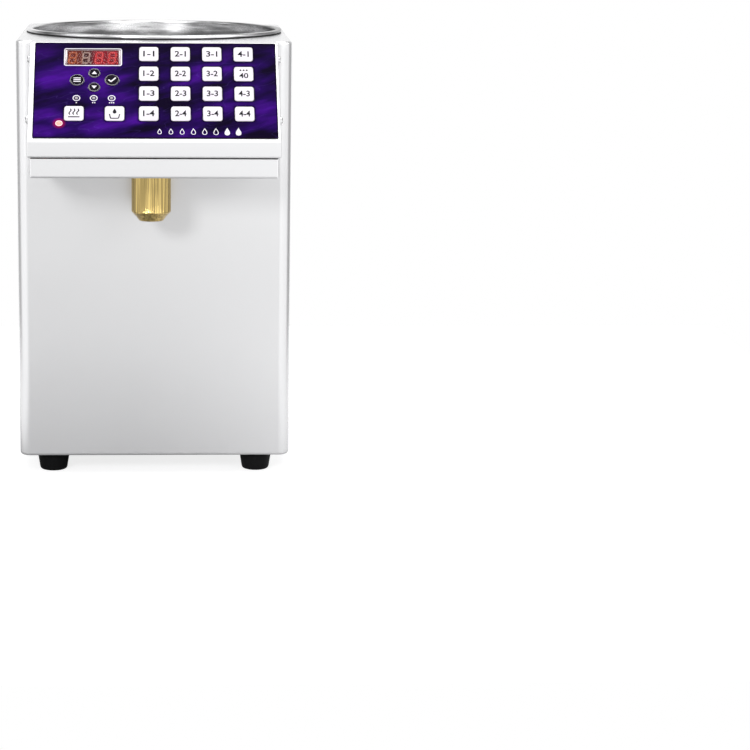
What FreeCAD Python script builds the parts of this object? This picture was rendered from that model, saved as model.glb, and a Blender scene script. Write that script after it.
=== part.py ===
import FreeCAD, Part
import math
import os
import Sketcher
from FreeCAD import Placement, Rotation, Vector

# Countertop fructose dispenser, built as an assembly of separate pieces.
#
# A welded sheet-metal cabinet carries a hanging syrup tank, and a sloping control head with a membrane
# keypad stands out over the cup space.  Below the tank a gear pump draws syrup and sends it through a
# hose to a knurled brass nozzle under the head.
#
# Millimetres.  X runs across the machine, -Y is the front, +Z is up, and the origin is on the floor at
# the middle of the machine's bounding box.

# Driving dimensions, in millimetres unless the name says otherwise.  They go into the spreadsheet.
DRIVING = {
    "cabinet": {
        "body_width": 270, "body_depth": 270, "body_height": 415, "foot_height": 19,
        "wall": 1.2, "front_radius": 11, "fold_radius": 3, "base_lip": 10.2, "cut_corner": 0.5,
        "deck_hole": 126.9, "window_width": 150, "window_low": 104, "window_high": 26,
        "plate_gap": 0.5, "base_vent_left": 50, "base_vent_front": 50, "base_vent_long": 60,
        "base_vent_wide": 4, "base_vent_run": 45,
    },
    "screws": {
        "screw_hole": 2.2, "shank": 2, "shank_tip": 1.5, "shank_long": 9, "pan_radius": 4.2, "pan_high": 2.7,
        "low_radius": 3.6, "low_high": 1.3, "recess_long": 2.5, "recess_thin": 0.45,
        "base_screw_inset": 6, "base_screw_apart": 67.5,
    },
    "head": {
        "head_reach": 113.5, "head_top_run": 27, "lip_low": 102, "head_low": 121.5,
        "cover_width": 239, "box_width": 235.2, "flange_width": 16, "flange_toe": 11.5,
        "flange_top": 9, "relief": 3, "seam_gap": 0.8, "box_setback": 2.2, "box_seat": 1.7,
        "bend_radius": 2, "side_fold": 1.1, "hem": 2, "hem_high": 4, "hem_round": 1.8, "lip_slot": 1.2,
        "screw_upper": 15.5, "screw_lower": 90.5, "screw_inset": 8, "nozzle_across": -3, "nozzle_out": 55,
        "back_window": 190, "back_window_low": 12, "back_window_top": 14,
    },
    "keypad": {
        "film_width": 231, "film_across": 1.2, "film_top": 1.4, "film_low": 118.6, "film": 0.8,
        "film_corner": 1.2, "key_width": 18.1, "key_length": 17.5, "key_corner": 2.5, "key_gap": 0.2,
        "key_soft": 0.45, "key_cap": 1.0, "key_rise": 0.55, "key_stem": 2.4, "stem_end": 7.2,
        "stem_hole": 3.4, "grid_left": -5.15, "grid_top": 15.4, "grid_pitch_across": 30.2,
        "grid_pitch_down": 24.6, "heat_across": -75.7, "dispense_across": -37.4, "small_key": 5.6,
        "large_key": 6.9, "arrows_across": -57, "arrow_upper": 39.7, "arrow_lower": 57.1,
        "set_across": -73.3, "confirm_across": -40.1, "large_keys_down": 48.3, "lamp_radius": 1.5,
        "lamps_down": 70.4, "lamp_left": -73.6, "lamp_middle": -57.2, "lamp_right": -40.3,
        "power_lamp_radius": 2.5, "power_lamp_across": -89.5, "power_lamp_down": 101.2, "lamp_gap": 0.2,
        "lamp_low": 0.3,
    },
    "display": {
        "display_across": -58.5, "display_down": 19.5, "window_long": 52.8, "window_tall": 19.4,
        "window_corner": 1, "window_gap": 0.2, "window_proud": 0.1, "module_long": 48.8,
        "module_tall": 17.8, "module_gap": 0.3, "module_low": 8.4, "module_high": 8,
        "socket_inset": 6, "socket_margin": 2,
    },
    "board": {
        "board_depth": 14, "board": 1.6, "board_width": 212, "board_length": 93, "board_top": 12,
        "board_corner": 2, "post_inset": 5, "post_radius": 3, "post_bore": 1.3, "post_hole": 1.6,
        "mains_block": 20, "mains_block_long": 30, "pump_plug": 58, "pump_plug_long": 16,
        "chip": -20, "chip_long": 28, "block_top": 50, "block_low": 60, "block_high": 5,
        "tact_half": 3, "tact_high": 3.5, "tact_button": 1.75, "tact_button_high": 2.4,
        "moulded_corner": 0.4,
    },
    "tank": {
        "tank_radius": 125.5, "tank_wall": 1.2, "tank_side": 168, "tank_depth": 184,
        "tank_flat": 24, "rim_radius": 130.6, "rim_height": 3.2, "rim_round": 1.3, "gasket": 1.2,
        "gasket_inset": 1.6, "gasket_back": 0.5, "outlet_radius": 9, "outlet_bore": 4, "outlet_flange": 14,
        "outlet_thread": 18, "outlet_long": 36, "outlet_nut": 14, "outlet_nut_high": 7,
        "band_thick": 2.5, "band_gap": 0.1, "band_low": 150, "band_high": 42,
        "thermostat_radius": 8, "thermostat_high": 7, "thermostat_drop": 88, "thermostat_gap": 0.4,
        "ear_long": 30, "ear_thin": 1, "ear_high": 8,
    },
    "nozzle": {
        "cap_radius": 19, "cap_length": 46.6, "cap_thread": 13, "thread_depth": 26,
        "cap_chamfer_high": 8.5, "cap_chamfer_in": 7.2, "spout_radius": 8, "shank_radius": 12.94,
        "shank_drop": 21, "shank_gap": 0.2, "locknut_radius": 16.6, "locknut": 4, "locknut_gap": 0.5,
        "cap_gap": 0.6, "cap_bevel": 1, "flute_radius": 0.6, "flute_out": 0.25, "flutes": 72,
        "flute_end": 2, "fitting_bore": 2.6, "fitting_flange": 17, "fitting_flange_high": 6,
        "fitting_barb": 24, "valve_gap": 0.4, "valve_flange": 2.2, "valve_skirt": 8, "valve_bevel": 2,
        "valve_long": 14, "valve_mouth": 3.2, "valve_slit": 0.6, "valve_lip": 1.6,
    },
    "pump": {
        "gear_module": 2, "gear_teeth": 12, "gear_face": 14, "gear_tip": 13.8, "gear_backlash": 0.3,
        "pressure_degrees": 20, "gear_gap": 0.2, "gear_start": 0.1, "shaft_front": 3, "drive_shaft": 46,
        "idler_pin": 22, "drive_height": 84, "pump_half": 30, "pump_front": 11, "pump_rear": 11,
        "pump_cover": 5, "pump_margin": 20, "port_radius": 3.2, "collar_proud": 3, "collar_long": 4,
        "shaft_radius": 4, "shaft_gap": 0.06, "seat_deep": 3.2, "motor_radius": 30, "motor_length": 82,
        "motor_cap": 13, "motor_cap_long": 5, "rotor_bore": 24, "bracket_half": 42, "bracket_foot": 46,
        "bracket_thick": 3, "bracket_above": 38, "bracket_hole": 9,
    },
    "hoses": {
        "barb_long": 22, "barb_fit": 0.15, "hose_start": 6, "suction_outer": 8, "suction_inner": 5.5,
        "suction_side": 86, "delivery_outer": 6, "delivery_inner": 4, "delivery_side": -82,
        "riser_across": -62, "riser_front": 15, "over_nozzle": 50, "suction_start": 20.5,
        "suction_turn": 66, "suction_bend": 84, "delivery_rise_front": 50, "delivery_rise": 112,
        "riser_low": 160, "riser_short": 4, "arch_across": 18, "arch_back": 8, "delivery_end": 9.5,
    },
    "supply": {
        "supply_left": -122, "supply_wide": 78, "supply_long": 100, "supply_high": 34, "supply_back": 18,
        "rail_high": 5, "rail_wide": 10, "rail_apart": 70,
    },
    "rear": {
        "service_width": 200, "service_height": 123, "service_low": 27, "service_margin": 10,
        "service_gap": 0.4, "service_corner": 4, "service_vent_wide": 5, "service_vent_round": 2.4,
        "service_vent_low": 38, "service_vent_high": 86, "service_vent_run": 120,
        "switch_across": 70, "switch_height": 211.7, "switch_width": 25, "switch_tall": 33,
        "switch_lap": 1.5, "case_inset": 2, "case_deep": 22, "well_deep": 14, "well_gap": 0.3,
        "well_reach": 2.4,
        "bezel": 2.9, "bezel_bevel": 2.32, "switch_proud": 5.3, "rocker_pivot": 5, "rocker_tip": 7.3,
        "rocker_tilt": 12, "rocker_width": 18, "rocker_dish": 0.4, "rocker_shoulder": 0.5, "rocker_heel": 4,
        "moulded_round": 3,
        "inlet_height": 163.4, "inlet_width": 32, "inlet_tall": 25, "inlet_flange": 1, "inlet_gap": 0.45,
        "socket_width": 24, "socket_tall": 16, "socket_deep": 17, "socket_side": 1.2, "socket_cap": 1.8,
        "socket_back": 7, "socket_corner": 4.5, "block_corner": 1,
        "pin_length": 14, "pin_thin": 2, "pin_tall": 4, "pin_apart": 7, "pin_low": -1.5, "pin_top": 2.5,
    },
    "feet": {
        "foot_top": 16.6, "foot_base": 13.4, "foot_toe": 3, "foot_hollow": 6, "foot_hollow_high": 7,
        "foot_across": 102.3, "foot_front": 27, "foot_rear": 35,
    },
}

doc = FreeCAD.newDocument("fructose_dispenser")
sheet = doc.addObject("Spreadsheet::Sheet", "Sizes")
nodes = {}


def fill_sheet():
    """Writes every driving dimension into the spreadsheet, one aliased cell each."""
    row = 1
    for group, sizes in DRIVING.items():
        sheet.set(f"A{row}", group)
        row += 1
        for alias, number in sizes.items():
            sheet.set(f"A{row}", alias)
            sheet.set(f"B{row}", str(number))
            sheet.setAlias(f"B{row}", alias)
            row += 1
    doc.recompute()


def bind(text):
    """Turns words in square brackets, such as [wall], into references to the sheet's cells."""
    return text.replace("[", "Sizes.").replace("]", "")


def value(text):
    """The number that an expression gives now."""
    return float(sheet.evalExpression(bind(text)))


# Places that many pieces share, as expressions.
FRONT = "(([head_reach] - [body_depth] - [switch_proud]) / 2)"
REAR = f"({FRONT} + [body_depth])"
CENTRE = f"({FRONT} + [body_depth] / 2)"
BOTTOM = "[foot_height]"
TOP = "([foot_height] + [body_height])"
SLOPE_Y = f"({FRONT} - [head_top_run])"
SLOPE_DROP = "([head_reach] - [head_top_run])"
HEAD_FLOOR = f"({TOP} - [head_low])"
NOZZLE_Y = f"({FRONT} - [nozzle_out])"
HALF_RIGHT = math.sqrt(0.5)
SLOPE_DEGREES = 45
SWITCH_Z = f"({BOTTOM} + [switch_height])"
INLET_Z = f"({BOTTOM} + [inlet_height])"
OVERSHOOT = "10"  # how far a cut runs past the metal it goes through
PORT_Z = "([drive_height] + [gear_module] * [gear_teeth] / 2)"


# ---------------------------------------------------------------- building helpers

def set_place(obj, x="0", y="0", z="0", rotation=None):
    """Binds an object's position to expressions, and turns it if asked."""
    if rotation is not None:
        obj.Placement = Placement(Vector(), rotation)
    for axis, text in (("x", x), ("y", y), ("z", z)):
        obj.setExpression(f"Placement.Base.{axis}", bind(text))
    return obj


def new_body(label):
    """A PartDesign body that becomes the sub-part of that name."""
    body = doc.addObject("PartDesign::Body", label)
    body.Label = label
    nodes[label] = body
    return body


def slope_place(obj, across="0", down="0", rise="0"):
    """Stands an object on the head's sloping face: across is +X, down is along the slope from its top
    corner, and rise is outwards from the face."""
    turn = Rotation(Vector(1, 0, 0), SLOPE_DEGREES)
    return set_place(
        obj,
        across,
        f"{SLOPE_Y} - (({down}) + ({rise})) * sqrt(0.5)",
        f"{TOP} + (({rise}) - ({down})) * sqrt(0.5)",
        turn,
    )


def start_sketch(body, name, role, offset="0", on_slope=False):
    """A sketch on one of the body's origin planes, moved along its normal or onto the slope."""
    sketch = body.newObject("Sketcher::SketchObject", name)
    plane = next(f for f in body.Origin.OriginFeatures if f.Role == role)
    sketch.AttachmentSupport = [(plane, "")]
    sketch.MapMode = "FlatFace"
    if on_slope:
        turn = Rotation(Vector(1, 0, 0), SLOPE_DEGREES)
        sketch.AttachmentOffset = Placement(Vector(), turn)
        sketch.setExpression("AttachmentOffset.Base.y", bind(SLOPE_Y))
        sketch.setExpression("AttachmentOffset.Base.z", bind(TOP))
    else:
        sketch.setExpression("AttachmentOffset.Base.z", bind(offset))
    return sketch


def pin_point(sketch, geometry, point, x, y):
    """Two dimensions that hold a point of a sketch at x and y, which are expressions."""
    for kind, text in (("DistanceX", x), ("DistanceY", y)):
        rule = Sketcher.Constraint(kind, -1, 1, geometry, point, value(text))
        sketch.setExpression(f"Constraints[{sketch.addConstraint(rule)}]", bind(text))


def polygon(body, name, role, points, offset="0"):
    """A closed outline whose corners are bound to expressions."""
    sketch = start_sketch(body, name, role, offset)
    spots = [Vector(value(x), value(y), 0) for x, y in points]
    count = len(spots)
    sketch.addGeometry([Part.LineSegment(spots[i], spots[(i + 1) % count]) for i in range(count)])
    joins = [Sketcher.Constraint("Coincident", i, 2, (i + 1) % count, 1) for i in range(count)]
    sketch.addConstraint(joins)
    for i, (x, y) in enumerate(points):
        pin_point(sketch, i, 1, x, y)
    return sketch


def rounded(body, name, role, low, high, radii, offset="0", on_slope=False):
    """A rectangle from low to high, pairs of expressions, with its corner radii in the order low-left,
    low-right, high-right, high-left."""
    sketch = start_sketch(body, name, role, offset, on_slope)
    (low_x, low_y), (high_x, high_y) = low, high
    radii = [radii] * 4 if isinstance(radii, str) else radii
    sides = [(low_x, low_y, 1, 1), (high_x, low_y, -1, 1), (high_x, high_y, -1, -1), (low_x, high_y, 1, -1)]
    centres = [(f"{x} + ({a}) * ({r})", f"{y} + ({b}) * ({r})") for (x, y, a, b), r in zip(sides, radii)]
    spots = [Vector(value(x), value(y), 0) for x, y in centres]
    arcs = []
    for i, spot in enumerate(spots):
        start = math.pi + i * math.pi / 2
        circle = Part.Circle(spot, Vector(0, 0, 1), value(radii[i]))
        arcs.append(Part.ArcOfCircle(circle, start, start + math.pi / 2))
    lines = [Part.LineSegment(arcs[i].EndPoint, arcs[(i + 1) % 4].StartPoint) for i in range(4)]
    sketch.addGeometry(arcs + lines)
    joins = []
    for i in range(4):
        joins.append(Sketcher.Constraint("Tangent", i, 2, 4 + i, 1))
        joins.append(Sketcher.Constraint("Tangent", 4 + i, 2, (i + 1) % 4, 1))
    sketch.addConstraint(joins)
    for i, (x, y) in enumerate(centres):
        pin_point(sketch, i, 3, x, y)
        rule = Sketcher.Constraint("Radius", i, value(radii[i]))
        sketch.setExpression(f"Constraints[{sketch.addConstraint(rule)}]", bind(radii[i]))
    return sketch


def circles(body, name, role, spots, offset="0", on_slope=False):
    """Several circles, each given as expressions for x, y and radius."""
    sketch = start_sketch(body, name, role, offset, on_slope)
    for i, (x, y, radius) in enumerate(spots):
        centre = Vector(value(x), value(y), 0)
        sketch.addGeometry(Part.Circle(centre, Vector(0, 0, 1), value(radius)))
        pin_point(sketch, i, 3, x, y)
        rule = Sketcher.Constraint("Radius", i, value(radius))
        sketch.setExpression(f"Constraints[{sketch.addConstraint(rule)}]", bind(radius))
    return sketch


def pad(body, sketch, length, both=False, back=False):
    """Pads a sketch by an expression's length, to both sides of it or backwards."""
    feature = body.newObject("PartDesign::Pad", f"{sketch.Name}_pad")
    feature.Profile = sketch
    feature.setExpression("Length", bind(length))
    feature.Midplane = both
    feature.Reversed = back
    doc.recompute()
    return feature


def pocket(body, sketch, length, both=True, back=False):
    """Cuts a sketch through the body, and stops if nothing was cut."""
    before = body.Shape.Volume
    feature = body.newObject("PartDesign::Pocket", f"{sketch.Name}_cut")
    feature.Profile = sketch
    feature.setExpression("Length", bind(length))
    feature.Midplane = both
    feature.Reversed = back
    doc.recompute()
    if body.Shape.Volume > before - 1e-6:
        raise RuntimeError(f"{feature.Name} cuts nothing")
    return feature


def revolve(body, sketch):
    """Turns a half profile round the sketch's vertical axis."""
    feature = body.newObject("PartDesign::Revolution", f"{sketch.Name}_turned")
    feature.Profile = sketch
    feature.ReferenceAxis = (sketch, ["V_Axis"])
    feature.Angle = 360
    doc.recompute()
    return feature


def soften(body, name, size, test, kind="Fillet", size_name="Radius"):
    """Rounds, or bevels if asked, the edges of the body's tip that pass the test."""
    base = body.Tip
    found = [f"Edge{i}" for i, edge in enumerate(base.Shape.Edges, 1) if test(edge)]
    if not found:
        raise RuntimeError(f"{name} finds no edge")
    feature = body.newObject(f"PartDesign::{kind}", name)
    feature.Base = (base, found)
    feature.setExpression(size_name, bind(size))
    doc.recompute()
    return feature


def fillet(body, name, radius, test):
    """Rounds the edges of the body's tip that pass the test."""
    return soften(body, name, radius, test)


def bevel(body, name, size, test):
    """Bevels the edges of the body's tip that pass the test."""
    return soften(body, name, size, test, "Chamfer", "Size")


def repeat_along(body, name, original, sketch, axis, length, count):
    """A linear pattern of one feature along its sketch's own axis."""
    feature = body.newObject("PartDesign::LinearPattern", name)
    feature.Originals = [original]
    feature.Direction = (sketch, [axis])
    feature.setExpression("Length", bind(length))
    feature.Occurrences = count
    body.Tip = feature
    doc.recompute()
    return feature


def box(name, size, low):
    """A Part box: its size and its lowest corner as expressions."""
    made = doc.addObject("Part::Box", name)
    for side, text in zip(("Length", "Width", "Height"), size):
        made.setExpression(side, bind(text))
    return set_place(made, *low)


def cylinder(name, radius, height, base, direction=Vector(0, 0, 1)):
    """A Part cylinder from base along a direction."""
    made = doc.addObject("Part::Cylinder", name)
    made.setExpression("Radius", bind(radius))
    made.setExpression("Height", bind(height))
    return set_place(made, *base, rotation=Rotation(Vector(0, 0, 1), direction))


def fuse(name, *pieces):
    """Joins several objects into one."""
    made = doc.addObject("Part::MultiFuse", name)
    made.Shapes = list(pieces)
    return made


def cut(name, base, *tools):
    """Takes one or more tools away from a base."""
    made = doc.addObject("Part::Cut", name)
    made.Base = base
    made.Tool = tools[0] if len(tools) == 1 else fuse(f"{name}_tools", *tools)
    return made


def keep(label, obj):
    """Names an object as a sub-part."""
    obj.Label = label
    nodes[label] = obj
    return obj


def feature_from(label, shape):
    """A sub-part whose shape is made by Part's own functions."""
    made = doc.addObject("Part::Feature", label)
    made.Shape = shape
    return keep(label, made)


def copies(label, master, places):
    """One node of separate identical solids, each the master's shape at a placement."""
    doc.recompute()
    shape = master.Shape
    placed = [shape.transformed(place.toMatrix()) for place in places]
    nodes.pop(master.Label, None)
    return feature_from(label, Part.makeCompound(placed))


def slope_matrix(across, down, rise):
    """The placement of a copy that stands on the sloping face, from numbers."""
    y = value(SLOPE_Y) - (down + rise) * HALF_RIGHT
    z = value(TOP) + (rise - down) * HALF_RIGHT
    return Placement(Vector(across, y, z), Rotation(Vector(1, 0, 0), SLOPE_DEGREES))


def along_x(edge):
    """Whether an edge runs along X."""
    return abs(edge.tangentAt(edge.FirstParameter).x) > 0.999


def along_z(edge):
    """Whether an edge runs along Z."""
    return abs(edge.tangentAt(edge.FirstParameter).z) > 0.999


def near(a, b, within=0.01):
    """Whether two numbers agree closely."""
    return abs(a - b) < within


# ---------------------------------------------------------------- cabinet

def make_cabinet_shell():
    """Front, sides, back and deck welded into one shell, with a return lip round its open bottom."""
    body = new_body("cabinet_shell")
    half, fold, front = "[body_width] / 2", "[fold_radius]", "[front_radius]"
    outline = rounded(
        body, "outline", "XY_Plane", (f"-{half}", FRONT), (half, REAR), [front, front, fold, fold], BOTTOM
    )
    pad(body, outline, "[body_height]")
    low, high = value(BOTTOM), value(TOP)
    fillet(body, "folds", fold, lambda e: near(e.BoundBox.ZLength, 0)
           and (near(e.CenterOfMass.z, low) or near(e.CenterOfMass.z, high)))
    thin_fold, thin_front = f"{fold} - [wall]", f"{front} - [wall]"
    inside = rounded(
        body, "inside", "XY_Plane", (f"-{half} + [wall]", f"{FRONT} + [wall]"),
        (f"{half} - [wall]", f"{REAR} - [wall]"), [thin_front, thin_front, thin_fold, thin_fold],
        f"{BOTTOM} + [wall]",
    )
    pocket(body, inside, "[body_height] - 2 * [wall]", both=False, back=True)
    lip = "[base_lip]"
    mouth = rounded(
        body, "base_mouth", "XY_Plane", (f"-{half} + {lip}", f"{FRONT} + {lip}"),
        (f"{half} - {lip}", f"{REAR} - {lip}"), "[front_radius]", BOTTOM,
    )
    pocket(body, mouth, "4 * [wall]")
    deck = circles(body, "deck_hole", "XY_Plane", [("0", CENTRE, "[deck_hole]")], TOP)
    pocket(body, deck, "4 * [wall]")
    window = rounded(
        body, "hose_window", "XZ_Plane", ("-[window_width] / 2", f"{TOP} - [window_low]"),
        ("[window_width] / 2", f"{TOP} - [window_high]"), "[fold_radius]", f"-({FRONT})",
    )
    pocket(body, window, "4 * [wall]")
    make_service_seat(body)
    for name, height, side, tall in (
        ("switch_hole", SWITCH_Z, "([switch_width] / 2 - [switch_lap])",
         "([switch_tall] / 2 - [switch_lap])"),
        ("inlet_hole", INLET_Z, "([socket_width] / 2 + [socket_side] + [inlet_gap])",
         "([socket_tall] / 2 + [socket_cap] + [inlet_gap])"),
    ):
        hole = rounded(
            body, name, "XZ_Plane", (f"[switch_across] - {side}", f"{height} - {tall}"),
            (f"[switch_across] + {side}", f"{height} + {tall}"), "[cut_corner]", f"-({REAR})",
        )
        pocket(body, hole, "4 * [wall]")
    screws = [(x, z, "[screw_hole]") for x, z in service_screw_spots()]
    pocket(body, circles(body, "service_screw_holes", "XZ_Plane", screws, f"-({REAR})"), "4 * [wall]")
    base = [(x, y, "[screw_hole]") for x, y in base_screw_spots()]
    pocket(body, circles(body, "base_screw_holes", "XY_Plane", base, BOTTOM), "4 * [wall]")


def service_outline(body, name, grow, radius, offset):
    """The service cover's outline, grown by an expression, on an upright plane at that place."""
    low = f"{BOTTOM} + [service_low]"
    return rounded(
        body, name, "XZ_Plane", (f"-[service_width] / 2 - ({grow})", f"{low} - ({grow})"),
        (f"[service_width] / 2 + ({grow})", f"{low} + [service_height] + ({grow})"), radius,
        f"-({offset})",
    )


def make_service_seat(body):
    """The opening in the back: the cover drops in flush and rests on a frame welded inside it."""
    inner_skin, corner = f"{REAR} - [wall]", "[service_corner]"
    frame = service_outline(body, "seat_frame", "[service_margin]", corner, inner_skin)
    pad(body, frame, "[wall]")
    opening = service_outline(body, "service_opening", "[service_gap]", corner, inner_skin)
    pocket(body, opening, "2 * [wall]", both=False)
    mouth = service_outline(body, "service_mouth", "-2 * [service_margin]", "[fold_radius]", REAR)
    pocket(body, mouth, "6 * [wall]")


def service_screw_spots():
    """Where the four screws of the rear service cover go, across and up."""
    across = "[service_width] / 2 - [service_margin]"
    low = f"{BOTTOM} + [service_low] + [service_margin]"
    high = f"{BOTTOM} + [service_low] + [service_height] - [service_margin]"
    return [(f"{side} * ({across})", z) for side in (-1, 1) for z in (low, high)]


def base_screw_spots():
    """Where the screws that hold the base plate to the shell's side lips go, two on each side."""
    across = "[body_width] / 2 - [base_screw_inset]"
    depths = [f"{CENTRE} + {side} * [base_screw_apart]" for side in (-1, 1)]
    return [(f"{side} * ({across})", depth) for side in (-1, 1) for depth in depths]


def foot_spots():
    """The centres of the four feet."""
    front, rear = f"{FRONT} + [foot_front]", f"{REAR} - [foot_rear]"
    return [(f"{side} * [foot_across]", y) for side in (-1, 1) for y in (front, rear)]


def make_base_plate():
    """Flat plate that drops onto the shell's lip, with vent slots and screw holes."""
    body = new_body("base_plate")
    half = "[body_width] / 2 - [wall] - [plate_gap]"
    radius = "[front_radius] - [wall]"
    outline = rounded(
        body, "plate", "XY_Plane", (f"-({half})", f"{FRONT} + [wall] + [plate_gap]"),
        (half, f"{REAR} - [wall] - [plate_gap]"), radius, f"{BOTTOM} + [wall]",
    )
    pad(body, outline, "[wall]")
    holes = [(x, y, "[screw_hole]") for x, y in foot_spots() + base_screw_spots()]
    pocket(body, circles(body, "screw_holes", "XY_Plane", holes, f"{BOTTOM} + [wall]"), "4 * [wall]")
    left, low = "[base_vent_left]", f"{FRONT} + [base_vent_front]"
    slot = rounded(
        body, "vent", "XY_Plane", (left, low), (f"{left} + [base_vent_wide]", f"{low} + [base_vent_long]"),
        "[base_vent_wide] * 0.45", f"{BOTTOM} + [wall]",
    )
    cut_slot = pocket(body, slot, "4 * [wall]")
    repeat_along(body, "vents", cut_slot, slot, "H_Axis", "[base_vent_run]", 6)


def make_service_cover():
    """Screwed plate flush in the back of the pump bay, with upright vent slots."""
    body = new_body("service_cover")
    low = f"{BOTTOM} + [service_low]"
    pad(body, service_outline(body, "plate", "0", "[service_corner]", REAR), "[wall]")
    screws = [(x, z, "[screw_hole]") for x, z in service_screw_spots()]
    pocket(body, circles(body, "screw_holes", "XZ_Plane", screws, f"-({REAR})"), "4 * [wall]")
    left = "(-([service_vent_run] + [service_vent_wide]) / 2)"
    slot = rounded(
        body, "vent", "XZ_Plane", (left, f"{low} + [service_vent_low]"),
        (f"{left} + [service_vent_wide]", f"{low} + [service_vent_high]"), "[service_vent_round]",
        f"-({REAR})",
    )
    cut_slot = pocket(body, slot, "4 * [wall]")
    repeat_along(body, "vents", cut_slot, slot, "H_Axis", "[service_vent_run]", 11)


def make_feet():
    """Four moulded rubber feet under the base plate, each hollowed for its screw head."""
    foot = new_body("foot")
    height, hollow, roof = "([foot_height] + [wall])", "[foot_hollow]", "[foot_hollow_high]"
    profile = polygon(foot, "profile", "XZ_Plane", [
        ("[screw_hole]", roof), (hollow, roof), (hollow, "0"), ("[foot_base]", "0"),
        ("[foot_top]", height), ("[screw_hole]", height),
    ])
    revolve(foot, profile)
    nearly_across = 2 * value("[foot_base]") - 1
    fillet(foot, "toe", "[foot_toe]",
           lambda e: near(e.BoundBox.ZMax, 0) and e.BoundBox.XLength > nearly_across)
    places = [Placement(Vector(value(x), value(y), 0), Rotation()) for x, y in foot_spots()]
    copies("rubber_feet", foot, places)


def make_screw(label, radius, high):
    """A cross-recess screw with a domed head: the head's seat is at the origin and it faces +Z."""
    screw = new_body(label)
    profile = polygon(screw, "profile", "XZ_Plane", [
        ("0", "-[shank_long]"), ("[shank_tip]", "-[shank_long]"),
        ("[shank]", "-[shank_long] + [shank_tip] / 2"), ("[shank]", "0"), (radius, "0"),
        (radius, f"{high} * 0.4"), (f"{radius} * 0.76", f"{high} * 0.78"),
        (f"{radius} * 0.38", f"{high} * 0.96"), ("0", high),
    ])
    revolve(screw, profile)
    long, thin = "[recess_long]", "[recess_thin]"
    for name, wide, tall in (("recess_a", long, thin), ("recess_b", thin, long)):
        slot = polygon(screw, name, "XY_Plane", [
            (f"-{wide}", f"-{tall}"), (wide, f"-{tall}"), (wide, tall), (f"-{wide}", tall),
        ], high)
        pocket(screw, slot, f"{high} * 0.55", both=False)
    return screw


def make_panel_screws():
    """Four screws through the head cover's side flanges and four round the service cover."""
    screw = make_screw("pan_screw", "[pan_radius]", "[pan_high]")
    places = []
    half = value("[cover_width] / 2")
    for down in ("[screw_upper]", "[screw_lower]"):
        y, z = value(flange_screw(down)[0]), value(flange_screw(down)[1])
        for side in (-1, 1):
            turn = Rotation(Vector(0, 0, 1), Vector(side, 0, 0))
            places.append(Placement(Vector(side * half, y, z), turn))
    back = Rotation(Vector(0, 0, 1), Vector(0, 1, 0))
    for x, z in service_screw_spots():
        places.append(Placement(Vector(value(x), value(REAR), value(z)), back))
    copies("panel_screws", screw, places)


def make_base_screws():
    """Low-headed screws up into the base plate: four through the feet and four through the lip."""
    screw = make_screw("low_screw", "[low_radius]", "[low_high]")
    down = Rotation(Vector(1, 0, 0), 180)
    roof, lip = value("[foot_hollow_high]"), value(BOTTOM)
    places = [Placement(Vector(value(x), value(y), roof), down) for x, y in foot_spots()]
    places += [Placement(Vector(value(x), value(y), lip), down) for x, y in base_screw_spots()]
    copies("base_screws", screw, places)


# ---------------------------------------------------------------- head

def flange_screw(down):
    """A cover screw's place, y and z, from its distance down the slope."""
    y = f"{SLOPE_Y} - (({down}) - [screw_inset]) * sqrt(0.5)"
    z = f"{TOP} - (({down}) + [screw_inset]) * sqrt(0.5)"
    return y, z


def slope_offset(y, inset):
    """The height on a line parallel to the slope, inset by that much, at the place y."""
    return f"{TOP} + (({y}) - {SLOPE_Y}) - ({inset}) * sqrt(2)"


def cut_flange_holes(body):
    """The cover screws' holes, through both sides of the head."""
    screws = [(*flange_screw(down), "[screw_hole]") for down in ("[screw_upper]", "[screw_lower]")]
    pocket(body, circles(body, "flange_holes", "YZ_Plane", screws), f"[cover_width] + {OVERSHOOT}")


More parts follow.
